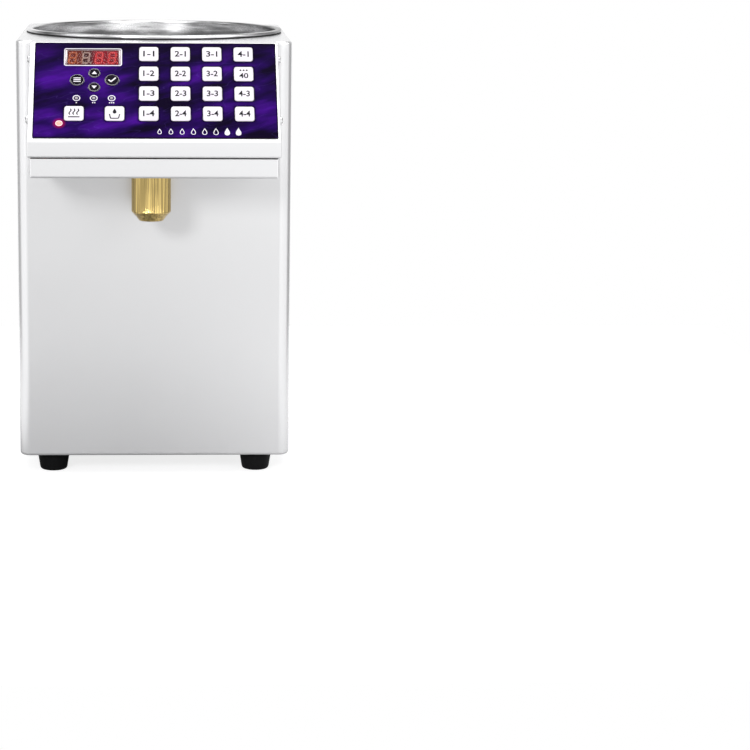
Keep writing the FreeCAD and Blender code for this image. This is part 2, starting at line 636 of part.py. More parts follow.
def make_head_cover():
    """Bent cover of the head: top strip, sloping face, front lip and two side flanges."""
    body = new_body("head_cover")
    nose, rear_end = f"{FRONT} - [head_reach]", f"{FRONT} - [seam_gap]"
    flange_end = f"{rear_end} - [relief]"
    knee_top = f"{SLOPE_Y} - [flange_top] + [flange_width] * sqrt(2)"
    knee_low, hem_back = f"{nose} + [flange_toe]", f"{nose} + [hem]"
    profile = polygon(body, "profile", "YZ_Plane", [
        (SLOPE_Y, TOP), (nose, f"{TOP} - {SLOPE_DROP}"), (nose, f"{TOP} - [lip_low]"),
        (f"{hem_back} + [cut_corner]", f"{TOP} - [lip_low]"),
        (knee_low, slope_offset(knee_low, "[flange_width]")), (knee_top, f"{TOP} - [flange_top]"),
        (flange_end, f"{TOP} - [flange_top]"), (flange_end, f"{TOP} - 2 * [wall]"),
        (rear_end, f"{TOP} - 2 * [wall]"), (rear_end, TOP),
    ])
    pad(body, profile, "[cover_width]", both=True)
    bends = [(value(SLOPE_Y), value(TOP)), (value(nose), value(f"{TOP} - {SLOPE_DROP}"))]
    fillet(body, "bends", "[bend_radius]", lambda e: along_x(e)
           and any(near(e.CenterOfMass.y, y) and near(e.CenterOfMass.z, z) for y, z in bends))
    half, top, front = value("[cover_width] / 2"), value(TOP), value(nose)
    lip, skin = value(f"{TOP} - [lip_low]"), value(SLOPE_Y) - top
    fillet(body, "hem_edge", "[hem_round]", lambda e: along_x(e)
           and near(e.CenterOfMass.y, front) and near(e.CenterOfMass.z, lip))

    def on_skyline(edge):
        """Edges of the two side faces that lie on the cover's outer skin."""
        middle = edge.CenterOfMass
        if not (near(abs(middle.x), half) and near(edge.BoundBox.XLength, 0)):
            return False
        on_slope = abs(middle.y - middle.z - skin) < 2.5
        return on_slope or near(middle.z, top, 0.5) or near(middle.y, front, 0.5)

    fillet(body, "side_folds", "[side_fold]", on_skyline)
    inner_nose = f"{nose} + [wall]"
    inner_top = f"{SLOPE_Y} - [wall] + [wall] * sqrt(2)"
    hem_top, below = f"{TOP} - [lip_low] + [hem_high]", f"{TOP} - [lip_low] - {OVERSHOOT}"
    inside = polygon(body, "inside", "YZ_Plane", [
        (inner_top, f"{TOP} - [wall]"), (inner_nose, slope_offset(inner_nose, "[wall]")),
        (inner_nose, hem_top), (hem_back, hem_top), (hem_back, below), (f"{FRONT} + {OVERSHOOT}", below),
        (f"{FRONT} + {OVERSHOOT}", f"{TOP} - [wall]"),
    ])
    pocket(body, inside, "[cover_width] - 2 * [wall]")
    cut_flange_holes(body)
    stems = [(across, f"-({down})", "[stem_hole]") for _, across, down, _ in key_list()]
    pocket(body, circles(body, "stem_holes", "XY_Plane", stems, on_slope=True), "4 * [wall]")
    lamps = [(across, f"-({down})", f"{radius} + [lamp_gap]") for across, down, radius in lamp_list()]
    pocket(body, circles(body, "lamp_holes", "XY_Plane", lamps, on_slope=True), "4 * [wall]")
    long, tall = "([module_long] / 2 + [module_gap])", "([module_tall] / 2 + [module_gap])"
    display = rounded(
        body, "display_hole", "XY_Plane",
        (f"[display_across] - {long}", f"-[display_down] - {tall}"),
        (f"[display_across] + {long}", f"-[display_down] + {tall}"), "[cut_corner]", on_slope=True,
    )
    pocket(body, display, "4 * [wall]")


def make_head_box():
    """Lower box of the head: floor, sides, front with a slot behind the cover's lip, and a back frame."""
    body = new_body("head_box")
    nose = f"{FRONT} - [head_reach] + [box_setback]"
    crown = f"{SLOPE_Y} - [box_seat] + [box_seat] * sqrt(2)"
    notch_front, notch_low = f"{FRONT} - [seam_gap] - [relief]", f"{TOP} - [flange_top]"
    profile = polygon(body, "profile", "YZ_Plane", [
        (FRONT, HEAD_FLOOR), (FRONT, notch_low), (notch_front, notch_low),
        (notch_front, f"{TOP} - [box_seat]"), (crown, f"{TOP} - [box_seat]"),
        (nose, slope_offset(nose, "[box_seat]")), (nose, HEAD_FLOOR),
    ])
    pad(body, profile, "[box_width]", both=True)
    floor, front, rear = value(HEAD_FLOOR), value(nose), value(FRONT)

    def outer_fold(edge):
        """Folds along the floor's front and sides and up the front corners."""
        middle = edge.CenterOfMass
        along_floor = near(middle.z, floor) and not near(middle.y, rear)
        return along_floor or (along_z(edge) and near(middle.y, front))

    fillet(body, "folds", "[box_setback]", outer_fold)
    inside = polygon(body, "inside", "YZ_Plane", [
        (f"{FRONT} - [wall]", f"{HEAD_FLOOR} + [wall]"), (f"{FRONT} - [wall]", f"{TOP} + {OVERSHOOT}"),
        (f"{nose} + [wall]", f"{TOP} + {OVERSHOOT}"), (f"{nose} + [wall]", f"{HEAD_FLOOR} + [wall]"),
    ])
    pocket(body, inside, "[box_width] - 2 * [wall]")
    window = rounded(
        body, "back_window", "XZ_Plane", ("-[back_window] / 2", f"{HEAD_FLOOR} + [back_window_low]"),
        ("[back_window] / 2", f"{TOP} - [back_window_top]"), "[fold_radius]", f"-({FRONT})",
    )
    pocket(body, window, "4 * [wall]")
    side, lip = "([box_width] / 2 - [wall])", f"{TOP} - [lip_low]"
    slot = rounded(
        body, "lip_slot", "XZ_Plane", (f"-{side}", f"{lip} - [lip_slot]"), (side, f"{lip} + [hem_high]"),
        "[cut_corner]", f"-({nose})",
    )
    pocket(body, slot, "4 * [wall]")
    nozzle = [("[nozzle_across]", NOZZLE_Y, "[shank_radius] + [shank_gap]")]
    pocket(body, circles(body, "nozzle_hole", "XY_Plane", nozzle, HEAD_FLOOR), "4 * [wall]")
    cut_flange_holes(body)


# ---------------------------------------------------------------- keypad

def key_list():
    """Every key as (name, across, down, kind), with its place on the slope as expressions."""
    keys = []
    for column in range(4):
        for row in range(4):
            across = f"[grid_left] + {column} * [grid_pitch_across]"
            down = f"[grid_top] + {row} * [grid_pitch_down]"
            keys.append((f"key_{column + 1}_{row + 1}", across, down, "square"))
    last_row = "[grid_top] + 3 * [grid_pitch_down]"
    keys.append(("key_heat", "[heat_across]", last_row, "square"))
    keys.append(("key_dispense", "[dispense_across]", last_row, "square"))
    keys.append(("key_up", "[arrows_across]", "[arrow_upper]", "small"))
    keys.append(("key_down", "[arrows_across]", "[arrow_lower]", "small"))
    keys.append(("key_set", "[set_across]", "[large_keys_down]", "large"))
    keys.append(("key_confirm", "[confirm_across]", "[large_keys_down]", "large"))
    return keys


def lamp_list():
    """The indicator lamps as (across, down, radius)."""
    places = ("left", "middle", "right")
    status = [(f"[lamp_{place}]", "[lamps_down]", "[lamp_radius]") for place in places]
    return status + [("[power_lamp_across]", "[power_lamp_down]", "[power_lamp_radius]")]


def key_radius(kind):
    """The radius of a round key of that kind."""
    return "[small_key]" if kind == "small" else "[large_key]"


def make_panel_overlay():
    """Printed film on the sloping face, with a window for each key, lamp and the display."""
    body = new_body("panel_overlay")
    slope_place(body)
    outline = rounded(
        body, "film", "XY_Plane", ("[film_across] - [film_width] / 2", "-[film_low]"),
        ("[film_across] + [film_width] / 2", "-[film_top]"), "[film_corner]",
    )
    pad(body, outline, "[film]")
    long, tall = "([key_width] / 2 + [key_gap])", "([key_length] / 2 + [key_gap])"
    for name, across, down, kind in key_list():
        if kind == "square":
            hole = rounded(
                body, f"hole_{name}", "XY_Plane", (f"{across} - {long}", f"-({down}) - {tall}"),
                (f"{across} + {long}", f"-({down}) + {tall}"), "[key_corner] + [key_gap]",
            )
            pocket(body, hole, "4 * [film]")
    round_holes = [(across, f"-({down})", f"{key_radius(kind)} + [key_gap]")
                   for _, across, down, kind in key_list() if kind != "square"]
    round_holes += [(across, f"-({down})", f"{radius} + [lamp_gap]")
                    for across, down, radius in lamp_list()]
    pocket(body, circles(body, "round_holes", "XY_Plane", round_holes), "4 * [film]")
    long, tall = "([window_long] / 2 + [window_gap])", "([window_tall] / 2 + [window_gap])"
    display = rounded(
        body, "display_hole", "XY_Plane", (f"[display_across] - {long}", f"-[display_down] - {tall}"),
        (f"[display_across] + {long}", f"-[display_down] + {tall}"), "[window_corner] + [window_gap]",
    )
    pocket(body, display, "4 * [film]")


def make_key(name, across, down, kind):
    """One key: a thin cap with softened edges on a stem that reaches down to its switch."""
    body = new_body(name)
    slope_place(body, across, down)
    if kind == "square":
        cap = rounded(
            body, "cap", "XY_Plane", ("-[key_width] / 2", "-[key_length] / 2"),
            ("[key_width] / 2", "[key_length] / 2"), "[key_corner]", "[key_rise]",
        )
    else:
        cap = circles(body, "cap", "XY_Plane", [("0", "0", key_radius(kind))], "[key_rise]")
    pad(body, cap, "[key_cap]")
    crown = value("[key_rise] + [key_cap]")
    fillet(body, "soft_edge", "[key_soft]", lambda e: near(e.BoundBox.ZMin, crown))
    stem = circles(body, "stem", "XY_Plane", [("0", "0", "[key_stem]")], "[key_rise]")
    pad(body, stem, "[key_rise] + [stem_end]", back=True)


def make_display():
    """The digit module on its socket, and the tinted window over it."""
    window = new_body("display_window")
    slope_place(window, "[display_across]", "[display_down]")
    pane = rounded(
        window, "pane", "XY_Plane", ("-[window_long] / 2", "-[window_tall] / 2"),
        ("[window_long] / 2", "[window_tall] / 2"), "[window_corner]",
    )
    pad(window, pane, "[film] + [window_proud]")
    module = new_body("display_module")
    slope_place(module, "[display_across]", "[display_down]")
    face = rounded(
        module, "face", "XY_Plane", ("-[module_long] / 2", "-[module_tall] / 2"),
        ("[module_long] / 2", "[module_tall] / 2"), "[moulded_corner]", "-[module_low]",
    )
    pad(module, face, "[module_high]")
    long, tall = "([module_long] / 2 - [socket_inset])", "([module_tall] / 2 - [socket_margin])"
    socket = rounded(
        module, "socket", "XY_Plane", (f"-{long}", f"-{tall}"), (long, tall), "[moulded_corner]",
        "-[board_depth]",
    )
    pad(module, socket, "[board_depth] - [module_low]")


def board_post_spots():
    """The board's four fixing posts on the slope, across and down."""
    across, top = "[board_width] / 2 - [post_inset]", "[board_top] + [post_inset]"
    low = "[board_top] + [board_length] - [post_inset]"
    return [(f"{side} * ({across})", down) for side in (-1, 1) for down in (top, low)]


def make_control_board():
    """The controller board under the sloping face, with its connectors on the underside."""
    body = new_body("control_board")
    slope_place(body)
    board = rounded(
        body, "board", "XY_Plane", ("-[board_width] / 2", "-[board_top] - [board_length]"),
        ("[board_width] / 2", "-[board_top]"), "[board_corner]", "-[board_depth] - [board]",
    )
    pad(body, board, "[board]")
    holes = [(across, f"-({down})", "[post_hole]") for across, down in board_post_spots()]
    middle = "-[board_depth] - [board] / 2"
    pocket(body, circles(body, "post_holes", "XY_Plane", holes, middle), "4 * [board]")
    for name in ("mains_block", "pump_plug", "chip"):
        block = rounded(
            body, name, "XY_Plane", (f"[{name}]", "-[block_low]"),
            (f"[{name}] + [{name}_long]", "-[block_top]"), "[cut_corner]", "-[board_depth] - [board]",
        )
        pad(body, block, "[block_high]", back=True)


def make_board_posts():
    """Threaded posts that carry the board under the cover."""
    post = new_body("post")
    ring = circles(post, "ring", "XY_Plane", [("0", "0", "[post_radius]")])
    pad(post, ring, "[board_depth] - [wall]")
    bore = circles(post, "bore", "XY_Plane", [("0", "0", "[post_bore]")])
    pocket(post, bore, "4 * [board_depth]")
    rise = -value("[board_depth]")
    copies("board_posts", post, [slope_matrix(value(a), value(d), rise) for a, d in board_post_spots()])


def make_tact_switches():
    """A small push switch on the board under each key."""
    switch = new_body("tact_switch")
    side = "[tact_half]"
    case = rounded(switch, "case", "XY_Plane", (f"-{side}", f"-{side}"), (side, side), "[moulded_corner]")
    pad(switch, case, "[tact_high]")
    button = circles(switch, "button", "XY_Plane", [("0", "0", "[tact_button]")], "[tact_high]")
    pad(switch, button, "[tact_button_high]")
    rise = -value("[board_depth]")
    copies("tact_switches", switch, [slope_matrix(value(a), value(d), rise) for _, a, d, _ in key_list()])


def make_indicator_lamps():
    """Status lamps and the power lamp: round lenses whose domes reach just past the film."""
    solids = []
    for across, down, radius in lamp_list():
        size, reach = value(radius), value("[board_depth] + [film] - [lamp_low]")
        lens = Part.makeCylinder(size, reach)
        dome = Part.makeSphere(size * 1.25, Vector(0, 0, reach - size * 0.75))
        above = Part.makeBox(4 * size, 4 * size, size, Vector(-2 * size, -2 * size, reach))
        lamp = lens.fuse(dome.common(above)).removeSplitter()
        place = slope_matrix(value(across), value(down), -value("[board_depth]"))
        solids.append(lamp.transformed(place.toMatrix()))
    feature_from("indicator_lamps", Part.makeCompound(solids))


# ---------------------------------------------------------------- tank

def make_tank():
    """Round syrup tank hung by its rim from the deck, with a shallow cone to its outlet."""
    body = new_body("tank")
    set_place(body, "0", CENTRE, TOP)
    inner = "[tank_radius] - [tank_wall]"
    seat, crest = "[gasket]", "[gasket] + [rim_height]"
    under, hole = "-[tank_depth] - [tank_wall]", "[outlet_radius] + [band_gap]"
    profile = polygon(body, "profile", "XZ_Plane", [
        (inner, crest), ("[rim_radius]", crest), ("[rim_radius]", seat), ("[tank_radius]", seat),
        ("[tank_radius]", "-[tank_side]"), ("[tank_flat]", under), (hole, under), (hole, "-[tank_depth]"),
        ("[tank_flat]", "-[tank_depth]"), (inner, "-[tank_side] + [tank_wall] / 2"),
    ])
    revolve(body, profile)
    rim, wall, top, bottom = (value(text) for text in ("[rim_radius]", inner, crest, seat))

    def rim_edge(edge):
        """The rim's outer top and bottom edges and its inner top edge."""
        if not isinstance(edge.Curve, Part.Circle):
            return False
        radius, height = edge.Curve.Radius, edge.Curve.Center.z
        on_rim = near(radius, rim) and (near(height, top) or near(height, bottom))
        return on_rim or (near(radius, wall) and near(height, top))

    fillet(body, "rolled_rim", "[rim_round]", rim_edge)


def ring(label, inner, outer, low, height):
    """A plain ring about the tank's axis."""
    body = new_body(label)
    set_place(body, "0", CENTRE, low)
    outline = circles(body, "outer", "XY_Plane", [("0", "0", outer), ("0", "0", inner)])
    pad(body, outline, height)


def make_tank_fittings():
    """Gasket under the rim, outlet spigot with its nut, heating band and thermostat."""
    ring("tank_gasket", "[tank_radius] + [gasket_inset]", "[rim_radius] - [gasket_back]", TOP, "[gasket]")
    skin = "[tank_radius] + [band_gap]"
    ring("heater_band", skin, f"{skin} + [band_thick]", f"{TOP} - [band_low]", "[band_high]")
    spigot = new_body("tank_outlet")
    set_place(spigot, "0", CENTRE, f"{TOP} - [tank_depth]")
    body, bore, flange = "[outlet_radius]", "[outlet_bore]", "[outlet_flange]"
    barb, lid = "([suction_inner] - [barb_fit])", "[tank_wall] * 2"
    thread, tail = "-[outlet_thread]", "-[outlet_long]"
    profile = polygon(spigot, "profile", "XZ_Plane", [
        (bore, lid), (flange, lid), (flange, "0"), (body, "0"), (body, thread),
        (barb, f"{thread} - [tank_wall]"), (barb, tail), (bore, tail),
    ])
    revolve(spigot, profile)
    nut = hex_nut("tank_outlet_nut", "[outlet_nut]", "[outlet_nut_high]", "[outlet_radius] + [band_gap]")
    set_place(nut, "0", CENTRE, f"{TOP} - [tank_depth] - [tank_wall] - [outlet_nut_high]")
    back, height = f"{CENTRE} + [tank_radius] + [thermostat_gap]", f"{TOP} - [thermostat_drop]"
    radius, ear_size = "[thermostat_radius]", ("[ear_long]", "[ear_thin]", "[ear_high]")
    puck = cylinder("puck", radius, "[thermostat_high]", ("0", back, height), Vector(0, 1, 0))
    ear = box("ear", ear_size, ("-[ear_long] / 2", back, f"{height} - [ear_high] / 2"))
    keep("thermostat", fuse("thermostat_parts", puck, ear))


def hex_nut(label, across_corners, height, bore):
    """A hexagon nut standing on the XY plane."""
    body = new_body(label)
    turns = [60 * i for i in range(6)]
    points = [(f"({across_corners}) * cos({turn})", f"({across_corners}) * sin({turn})") for turn in turns]
    pad(body, polygon(body, "hexagon", "XY_Plane", points), height)
    pocket(body, circles(body, "bore", "XY_Plane", [("0", "0", bore)]), f"4 * {height}")
    return body


# ---------------------------------------------------------------- pump bay

def gear_shape(phase):
    """An involute spur gear's solid, its face along +Y from the origin, thinned for backlash."""
    teeth, module = int(value("[gear_teeth]")), value("[gear_module]")
    pitch, tip, face = teeth * module / 2, value("[gear_tip]"), value("[gear_face]")
    pressure, backlash = math.radians(value("[pressure_degrees]")), value("[gear_backlash]")
    base, root = pitch * math.cos(pressure), pitch - 1.2 * module
    half_at_pitch = (math.pi * module / 2 - backlash) / 2 / pitch
    involute = math.tan(pressure) - pressure
    outline = []
    for tooth in range(teeth):
        middle = 2 * math.pi * tooth / teeth + phase
        flank = []
        for step in range(6):
            radius = base + (tip - base) * step / 5
            angle = math.acos(base / radius)
            half = half_at_pitch + involute - (math.tan(angle) - angle)
            flank.append((radius, half))
        rising = [(root, flank[0][1])] + flank
        outline += [(r, middle - half) for r, half in rising]
        outline += [(r, middle + half) for r, half in reversed(rising)]
    points = [Vector(r * math.cos(a), 0, r * math.sin(a)) for r, a in outline]
    face_plane = Part.Face(Part.makePolygon(points + points[:1]))
    return face_plane.extrude(Vector(0, face, 0))


def make_gears():
    """Drive gear on the motor's shaft and idler gear on its pin, meshing one above the other."""
    radius, lead = value("[shaft_radius]"), -value("[shaft_front]")
    front, axis = value(f"{CENTRE} - [pump_front] + [gear_start]"), value("[drive_height]")
    spacing, half_tooth = value("[gear_module] * [gear_teeth]"), math.pi / value("[gear_teeth]")
    for label, height, length, phase in (
        ("drive_gear", axis, value("[drive_shaft]"), 0.0),
        ("idler_gear", axis + spacing, value("[idler_pin]"), half_tooth),
    ):
        wheel = gear_shape(phase)
        shaft = Part.makeCylinder(radius, length, Vector(0, lead, 0), Vector(0, 1, 0))
        made = feature_from(label, wheel.fuse(shaft).removeSplitter())
        made.Placement = Placement(Vector(0, front, height), Rotation())


def make_pump():
    """Pump housing with its gear chamber and hose barbs, and the front cover."""
    front, low, half = f"{CENTRE} - [pump_front]", "[drive_height] - [pump_margin]", "[pump_half]"
    deep, spacing = "[pump_front] + [pump_rear]", "[gear_module] * [gear_teeth]"
    high, bore = f"{spacing} + 2 * [pump_margin]", "[shaft_radius] + [shaft_gap]"
    along_depth = Vector(0, 1, 0)
    axles = [f"[drive_height] + {i} * {spacing}" for i in range(2)]
    casting = [box("pump_block", (f"2 * {half}", deep, high), (f"-{half}", front, low))]
    for name, side in (("suction", 1), ("delivery", -1)):
        start, way, inner = (f"{side} * {half}", CENTRE, PORT_Z), Vector(side, 0, 0), f"[{name}_inner]"
        casting.append(cylinder(f"{name}_barb", f"{inner} - [barb_fit]", "[barb_long]", start, way))
        collar = f"{inner} + [collar_proud]"
        casting.append(cylinder(f"{name}_collar", collar, "[collar_long]", start, way))
    chamber = ("[gear_tip] + [gear_gap]", "[gear_face] + [gear_gap]")
    bores = [
        cylinder(f"chamber{i}", *chamber, ("0", front, axle), along_depth) for i, axle in enumerate(axles)
    ]
    reach = f"({half} + [barb_long] + [wall])"
    port_start = (f"-{reach}", CENTRE, PORT_Z)
    bores.append(cylinder("port", "[port_radius]", f"2 * {reach}", port_start, Vector(1, 0, 0)))
    bores.append(cylinder("shaft_hole", bore, f"3 * ({deep})", ("0", front, axles[0]), along_depth))
    pin_deep = "[idler_pin] - [shaft_front] + [shaft_gap] * 10"
    bores.append(cylinder("pin_hole", bore, pin_deep, ("0", front, axles[1]), along_depth))
    keep("pump_housing", cut("pump_bored", fuse("pump_casting", *casting), *bores))
    plate_low = (f"-{half}", f"{front} - [pump_cover]", low)
    plate = box("plate", (f"2 * {half}", "[pump_cover]", high), plate_low)
    seats = [
        cylinder(f"seat{i}", bore, "[seat_deep]", ("0", f"{front} - [seat_deep]", axle), along_depth)
        for i, axle in enumerate(axles)
    ]
    keep("pump_cover_plate", cut("cover_bored", plate, *seats))


def make_motor():
    """Motor behind the bracket, and the bracket that carries motor and pump on the base plate."""
    back, along_depth, thick = f"({CENTRE} + [pump_rear])", Vector(0, 1, 0), "[bracket_thick]"
    floor, wide, left = f"({BOTTOM} + 2 * [wall])", "2 * [bracket_half]", "-[bracket_half]"
    tall = f"[drive_height] + [bracket_above] - {floor}"
    upright = box("upright", (wide, thick, tall), (left, back, floor))
    foot = box("foot_plate", (wide, "[bracket_foot]", thick), (left, back, floor))
    ahead = ("0", f"{back} - {thick}", "[drive_height]")
    hole = cylinder("opening", "[bracket_hole]", f"4 * {thick}", ahead, along_depth)
    keep("pump_bracket", cut("bracket_bored", fuse("bracket_blank", upright, foot), hole))
    start, bore = f"{back} + {thick}", "[shaft_radius] + [shaft_gap]"
    end = f"{start} + [motor_length]"
    can = cylinder("can", "[motor_radius]", "[motor_length]", ("0", start, "[drive_height]"), along_depth)
    cap = cylinder("end_cap", "[motor_cap]", "[motor_cap_long]", ("0", end, "[drive_height]"), along_depth)
    rotor = cylinder("rotor_bore", bore, "[rotor_bore]", ("0", start, "[drive_height]"), along_depth)
    keep("pump_motor", cut("motor_bored", fuse("motor_blank", can, cap), rotor))


def make_power_supply():
    """Switching supply in its case, on a pair of rails fixed to the base plate."""
    floor, left, wide = f"({BOTTOM} + 2 * [wall])", "[supply_left]", "[supply_wide]"
    front = f"{CENTRE} + [supply_back]"
    case = box("case", (wide, "[supply_long]", "[supply_high]"), (left, front, f"{floor} + [rail_high]"))
    rails = [
        box(f"rail{i}", (wide, "[rail_wide]", "[rail_high]"),
            (left, f"{front} + [rail_wide] + {i} * [rail_apart]", floor)) for i in range(2)
    ]
    keep("power_supply", fuse("supply_parts", case, *rails))


def hose(label, points, outer, inner):
    """A hose along straight runs joined by tangent arcs, each as large as its two runs allow."""
    spots = [Vector(*(value(c) for c in point)) for point in points]
    edges, start, radii = [], spots[0], []
    for i in range(1, len(spots) - 1):
        into, away = spots[i] - spots[i - 1], spots[i + 1] - spots[i]
        half_turn = into.getAngle(away) / 2
        trim = 0.45 * min(into.Length, away.Length)
        radii.append(trim / math.tan(half_turn))
        before = spots[i] - into.normalize() * trim
        after = spots[i] + away.normalize() * trim
        bisector = (after + before) * 0.5 - spots[i]
        reach = radii[-1] / math.cos(half_turn) - radii[-1]
        middle = spots[i] + bisector.normalize() * reach
        edges += [Part.LineSegment(start, before).toShape(), Part.Arc(before, middle, after).toShape()]
        start = after
    edges.append(Part.LineSegment(start, spots[-1]).toShape())
    path = Part.Wire(edges)
    heading = spots[1] - spots[0]
    tubes = []
    for radius in (value(outer), value(inner)):
        section = Part.Wire(Part.makeCircle(radius, spots[0], heading))
        tubes.append(path.makePipeShell([section], True, False))
    tube = tubes[0].cut(tubes[1])
    expected = math.pi * (value(outer) ** 2 - value(inner) ** 2) * path.Length
    print(f"{label}: length {path.Length:.0f}, radii {[round(r) for r in radii]}, "
          f"volume ratio {tube.Volume / expected:.4f}")
    feature_from(label, tube)


def make_hoses():
    """Suction hose from the tank to the pump, and delivery hose from the pump to the nozzle."""
    spigot, pump = f"{TOP} - [tank_depth]", "[pump_half] + [hose_start]"
    hose("suction_hose", [
        ("0", CENTRE, f"{spigot} - [suction_start]"), ("0", CENTRE, f"{spigot} - [suction_turn]"),
        ("[suction_side]", CENTRE, f"{spigot} - [suction_bend]"), ("[suction_side]", CENTRE, PORT_Z),
        (pump, CENTRE, PORT_Z),
    ], "[suction_outer]", "[suction_inner]")
    side, riser, front = "[delivery_side]", "[riser_across]", f"{FRONT} + [riser_front]"
    nozzle, over = "[nozzle_across]", f"{HEAD_FLOOR} + [over_nozzle]"
    hose("delivery_hose", [
        (f"-({pump})", CENTRE, PORT_Z), (side, CENTRE, PORT_Z),
        (side, f"{FRONT} + [delivery_rise_front]", "[delivery_rise]"),
        (riser, front, "[riser_low]"), (riser, front, f"{over} - [riser_short]"),
        (f"{riser} + [arch_across]", f"{NOZZLE_Y} + [arch_back]", over),
        (nozzle, NOZZLE_Y, over), (nozzle, NOZZLE_Y, f"{HEAD_FLOOR} + [delivery_end]"),
    ], "[delivery_outer]", "[delivery_inner]")


# ---------------------------------------------------------------- nozzle

def turned(label, points):
    """A turned piece about the nozzle's axis, from its half profile above the head's floor."""
    body = new_body(label)
    set_place(body, "[nozzle_across]", NOZZLE_Y, HEAD_FLOOR)
    revolve(body, polygon(body, "profile", "XZ_Plane", points))
    return body


def make_nozzle():
    """Threaded fitting through the head's floor, its locknut, the drip valve and the knurled cap."""
    barb, seat = "([delivery_inner] - [barb_fit])", "[fitting_flange_high] + [wall]"
    bore, top, flange = "[fitting_bore]", "[fitting_barb]", "[fitting_flange]"
    shank, drop = "[shank_radius]", "-[shank_drop]"
    turned("nozzle_fitting", [
        (bore, top), (barb, top), (barb, seat), (flange, seat), (flange, "[wall]"), (shank, "[wall]"),
        (shank, drop), (bore, drop),
    ])
    nut_bore, nut = "[shank_radius] + [shaft_gap] / 3", "-[locknut]"
    turned("nozzle_locknut", [
        (nut_bore, "0"), ("[locknut_radius]", "0"), ("[locknut_radius]", nut), (nut_bore, nut),
    ])
    ledge = "(-[cap_gap] - [thread_depth])"
    rim, brim, tip = "[cap_thread] - [valve_gap]", f"{ledge} + [valve_flange]", f"{ledge} - [valve_long]"
    skirt, mouth = "[spout_radius] - [locknut_gap]", "[valve_mouth]"
    turned("drip_valve", [
        (mouth, brim), (rim, brim), (rim, ledge), (skirt, ledge), (skirt, f"{ledge} - [valve_skirt]"),
        ("[valve_lip]", tip), ("[valve_slit]", tip), (mouth, f"{ledge} - [valve_skirt] + [valve_bevel]"),
    ])
    crest, foot = "-[cap_gap]", "(-[cap_gap] - [cap_length])"
    knee, spout = f"({foot} + [cap_chamfer_high])", "[spout_radius]"
    collar, well, skin = "[locknut_radius] + [locknut_gap]", "-[locknut] - [cap_bevel]", "[cap_radius]"
    cap = turned("nozzle_cap", [
        (collar, crest), (skin, crest), (skin, knee), (f"{skin} - [cap_chamfer_in]", foot),
        (f"{spout} + [cap_bevel]", foot), (spout, f"{foot} + [cap_bevel]"), (spout, ledge),
        ("[cap_thread]", ledge),
        ("[cap_thread]", well), (collar, well),
    ])
    spot = (f"{skin} + [flute_out]", "0", "[flute_radius]")
    groove = circles(cap, "flute", "XY_Plane", [spot], crest)
    flute = pocket(cap, groove, "[cap_length] - [cap_chamfer_high] - [flute_end]", both=False)
    knurl = cap.newObject("PartDesign::PolarPattern", "knurl")
    knurl.Originals = [flute]
    knurl.Axis = (cap.Origin.OriginFeatures[2], [""])
    knurl.Angle = 360
    knurl.Occurrences = int(value("[flutes]"))
    cap.Tip = knurl
    doc.recompute()


# ---------------------------------------------------------------- rear fittings

def make_switch():
    """Mains rocker switch: bezel and case with a well, and the two-sided rocker resting tilted."""
    case = new_body("switch_housing")
    set_place(case, "[switch_across]", REAR, SWITCH_Z)
    half, tall = "[switch_width] / 2", "[switch_tall] / 2"
    bezel = rounded(case, "bezel", "XZ_Plane", (f"-{half}", f"-{tall}"), (half, tall), "[moulded_round]")
    pad(case, bezel, "[bezel]", back=True)
    rim = value("[bezel]")
    bevel(case, "bezel_bevel", "[bezel_bevel]",
          lambda e: near(e.BoundBox.YMin, rim) and near(e.BoundBox.YMax, rim))
    half, tall = f"({half} - [case_inset])", f"({tall} - [case_inset])"
    body = rounded(case, "case", "XZ_Plane", (f"-{half}", f"-{tall}"), (half, tall), "[cut_corner]")
    pad(case, body, "[case_deep]")
    side, reach = "([rocker_width] / 2 + [well_gap])", "([rocker_tip] + [well_reach])"
    well = rounded(
        case, "well", "XZ_Plane", (f"-{side}", f"-{reach}"), (side, reach), "[cut_corner]", "-[bezel]"
    )
    pocket(case, well, "[bezel] + [well_deep]", both=False, back=True)
    rocker = new_body("switch_rocker")
    turn = Rotation(Vector(1, 0, 0), value("[rocker_tilt]"))
    set_place(rocker, "[switch_across]", f"{REAR} - [rocker_pivot]", SWITCH_Z, turn)
    rise = "(([switch_proud] + [rocker_pivot] - [rocker_tip] * sin([rocker_tilt])) / cos([rocker_tilt]))"
    tip, shoulder, heel = "[rocker_tip]", "([rocker_tip] + [rocker_shoulder])", "[rocker_heel]"
    step, waist = f"{rise} - {heel} / 2", f"{heel} / 2"
    profile = polygon(rocker, "profile", "YZ_Plane", [
        (f"{rise} - [rocker_dish]", "0"), (rise, tip), (step, shoulder), (waist, shoulder),
        (f"-{heel}", heel), (f"-{heel}", f"-{heel}"), (waist, f"-{shoulder}"), (step, f"-{shoulder}"),
        (rise, f"-{tip}"),
    ])
    pad(rocker, profile, "[rocker_width]", both=True)


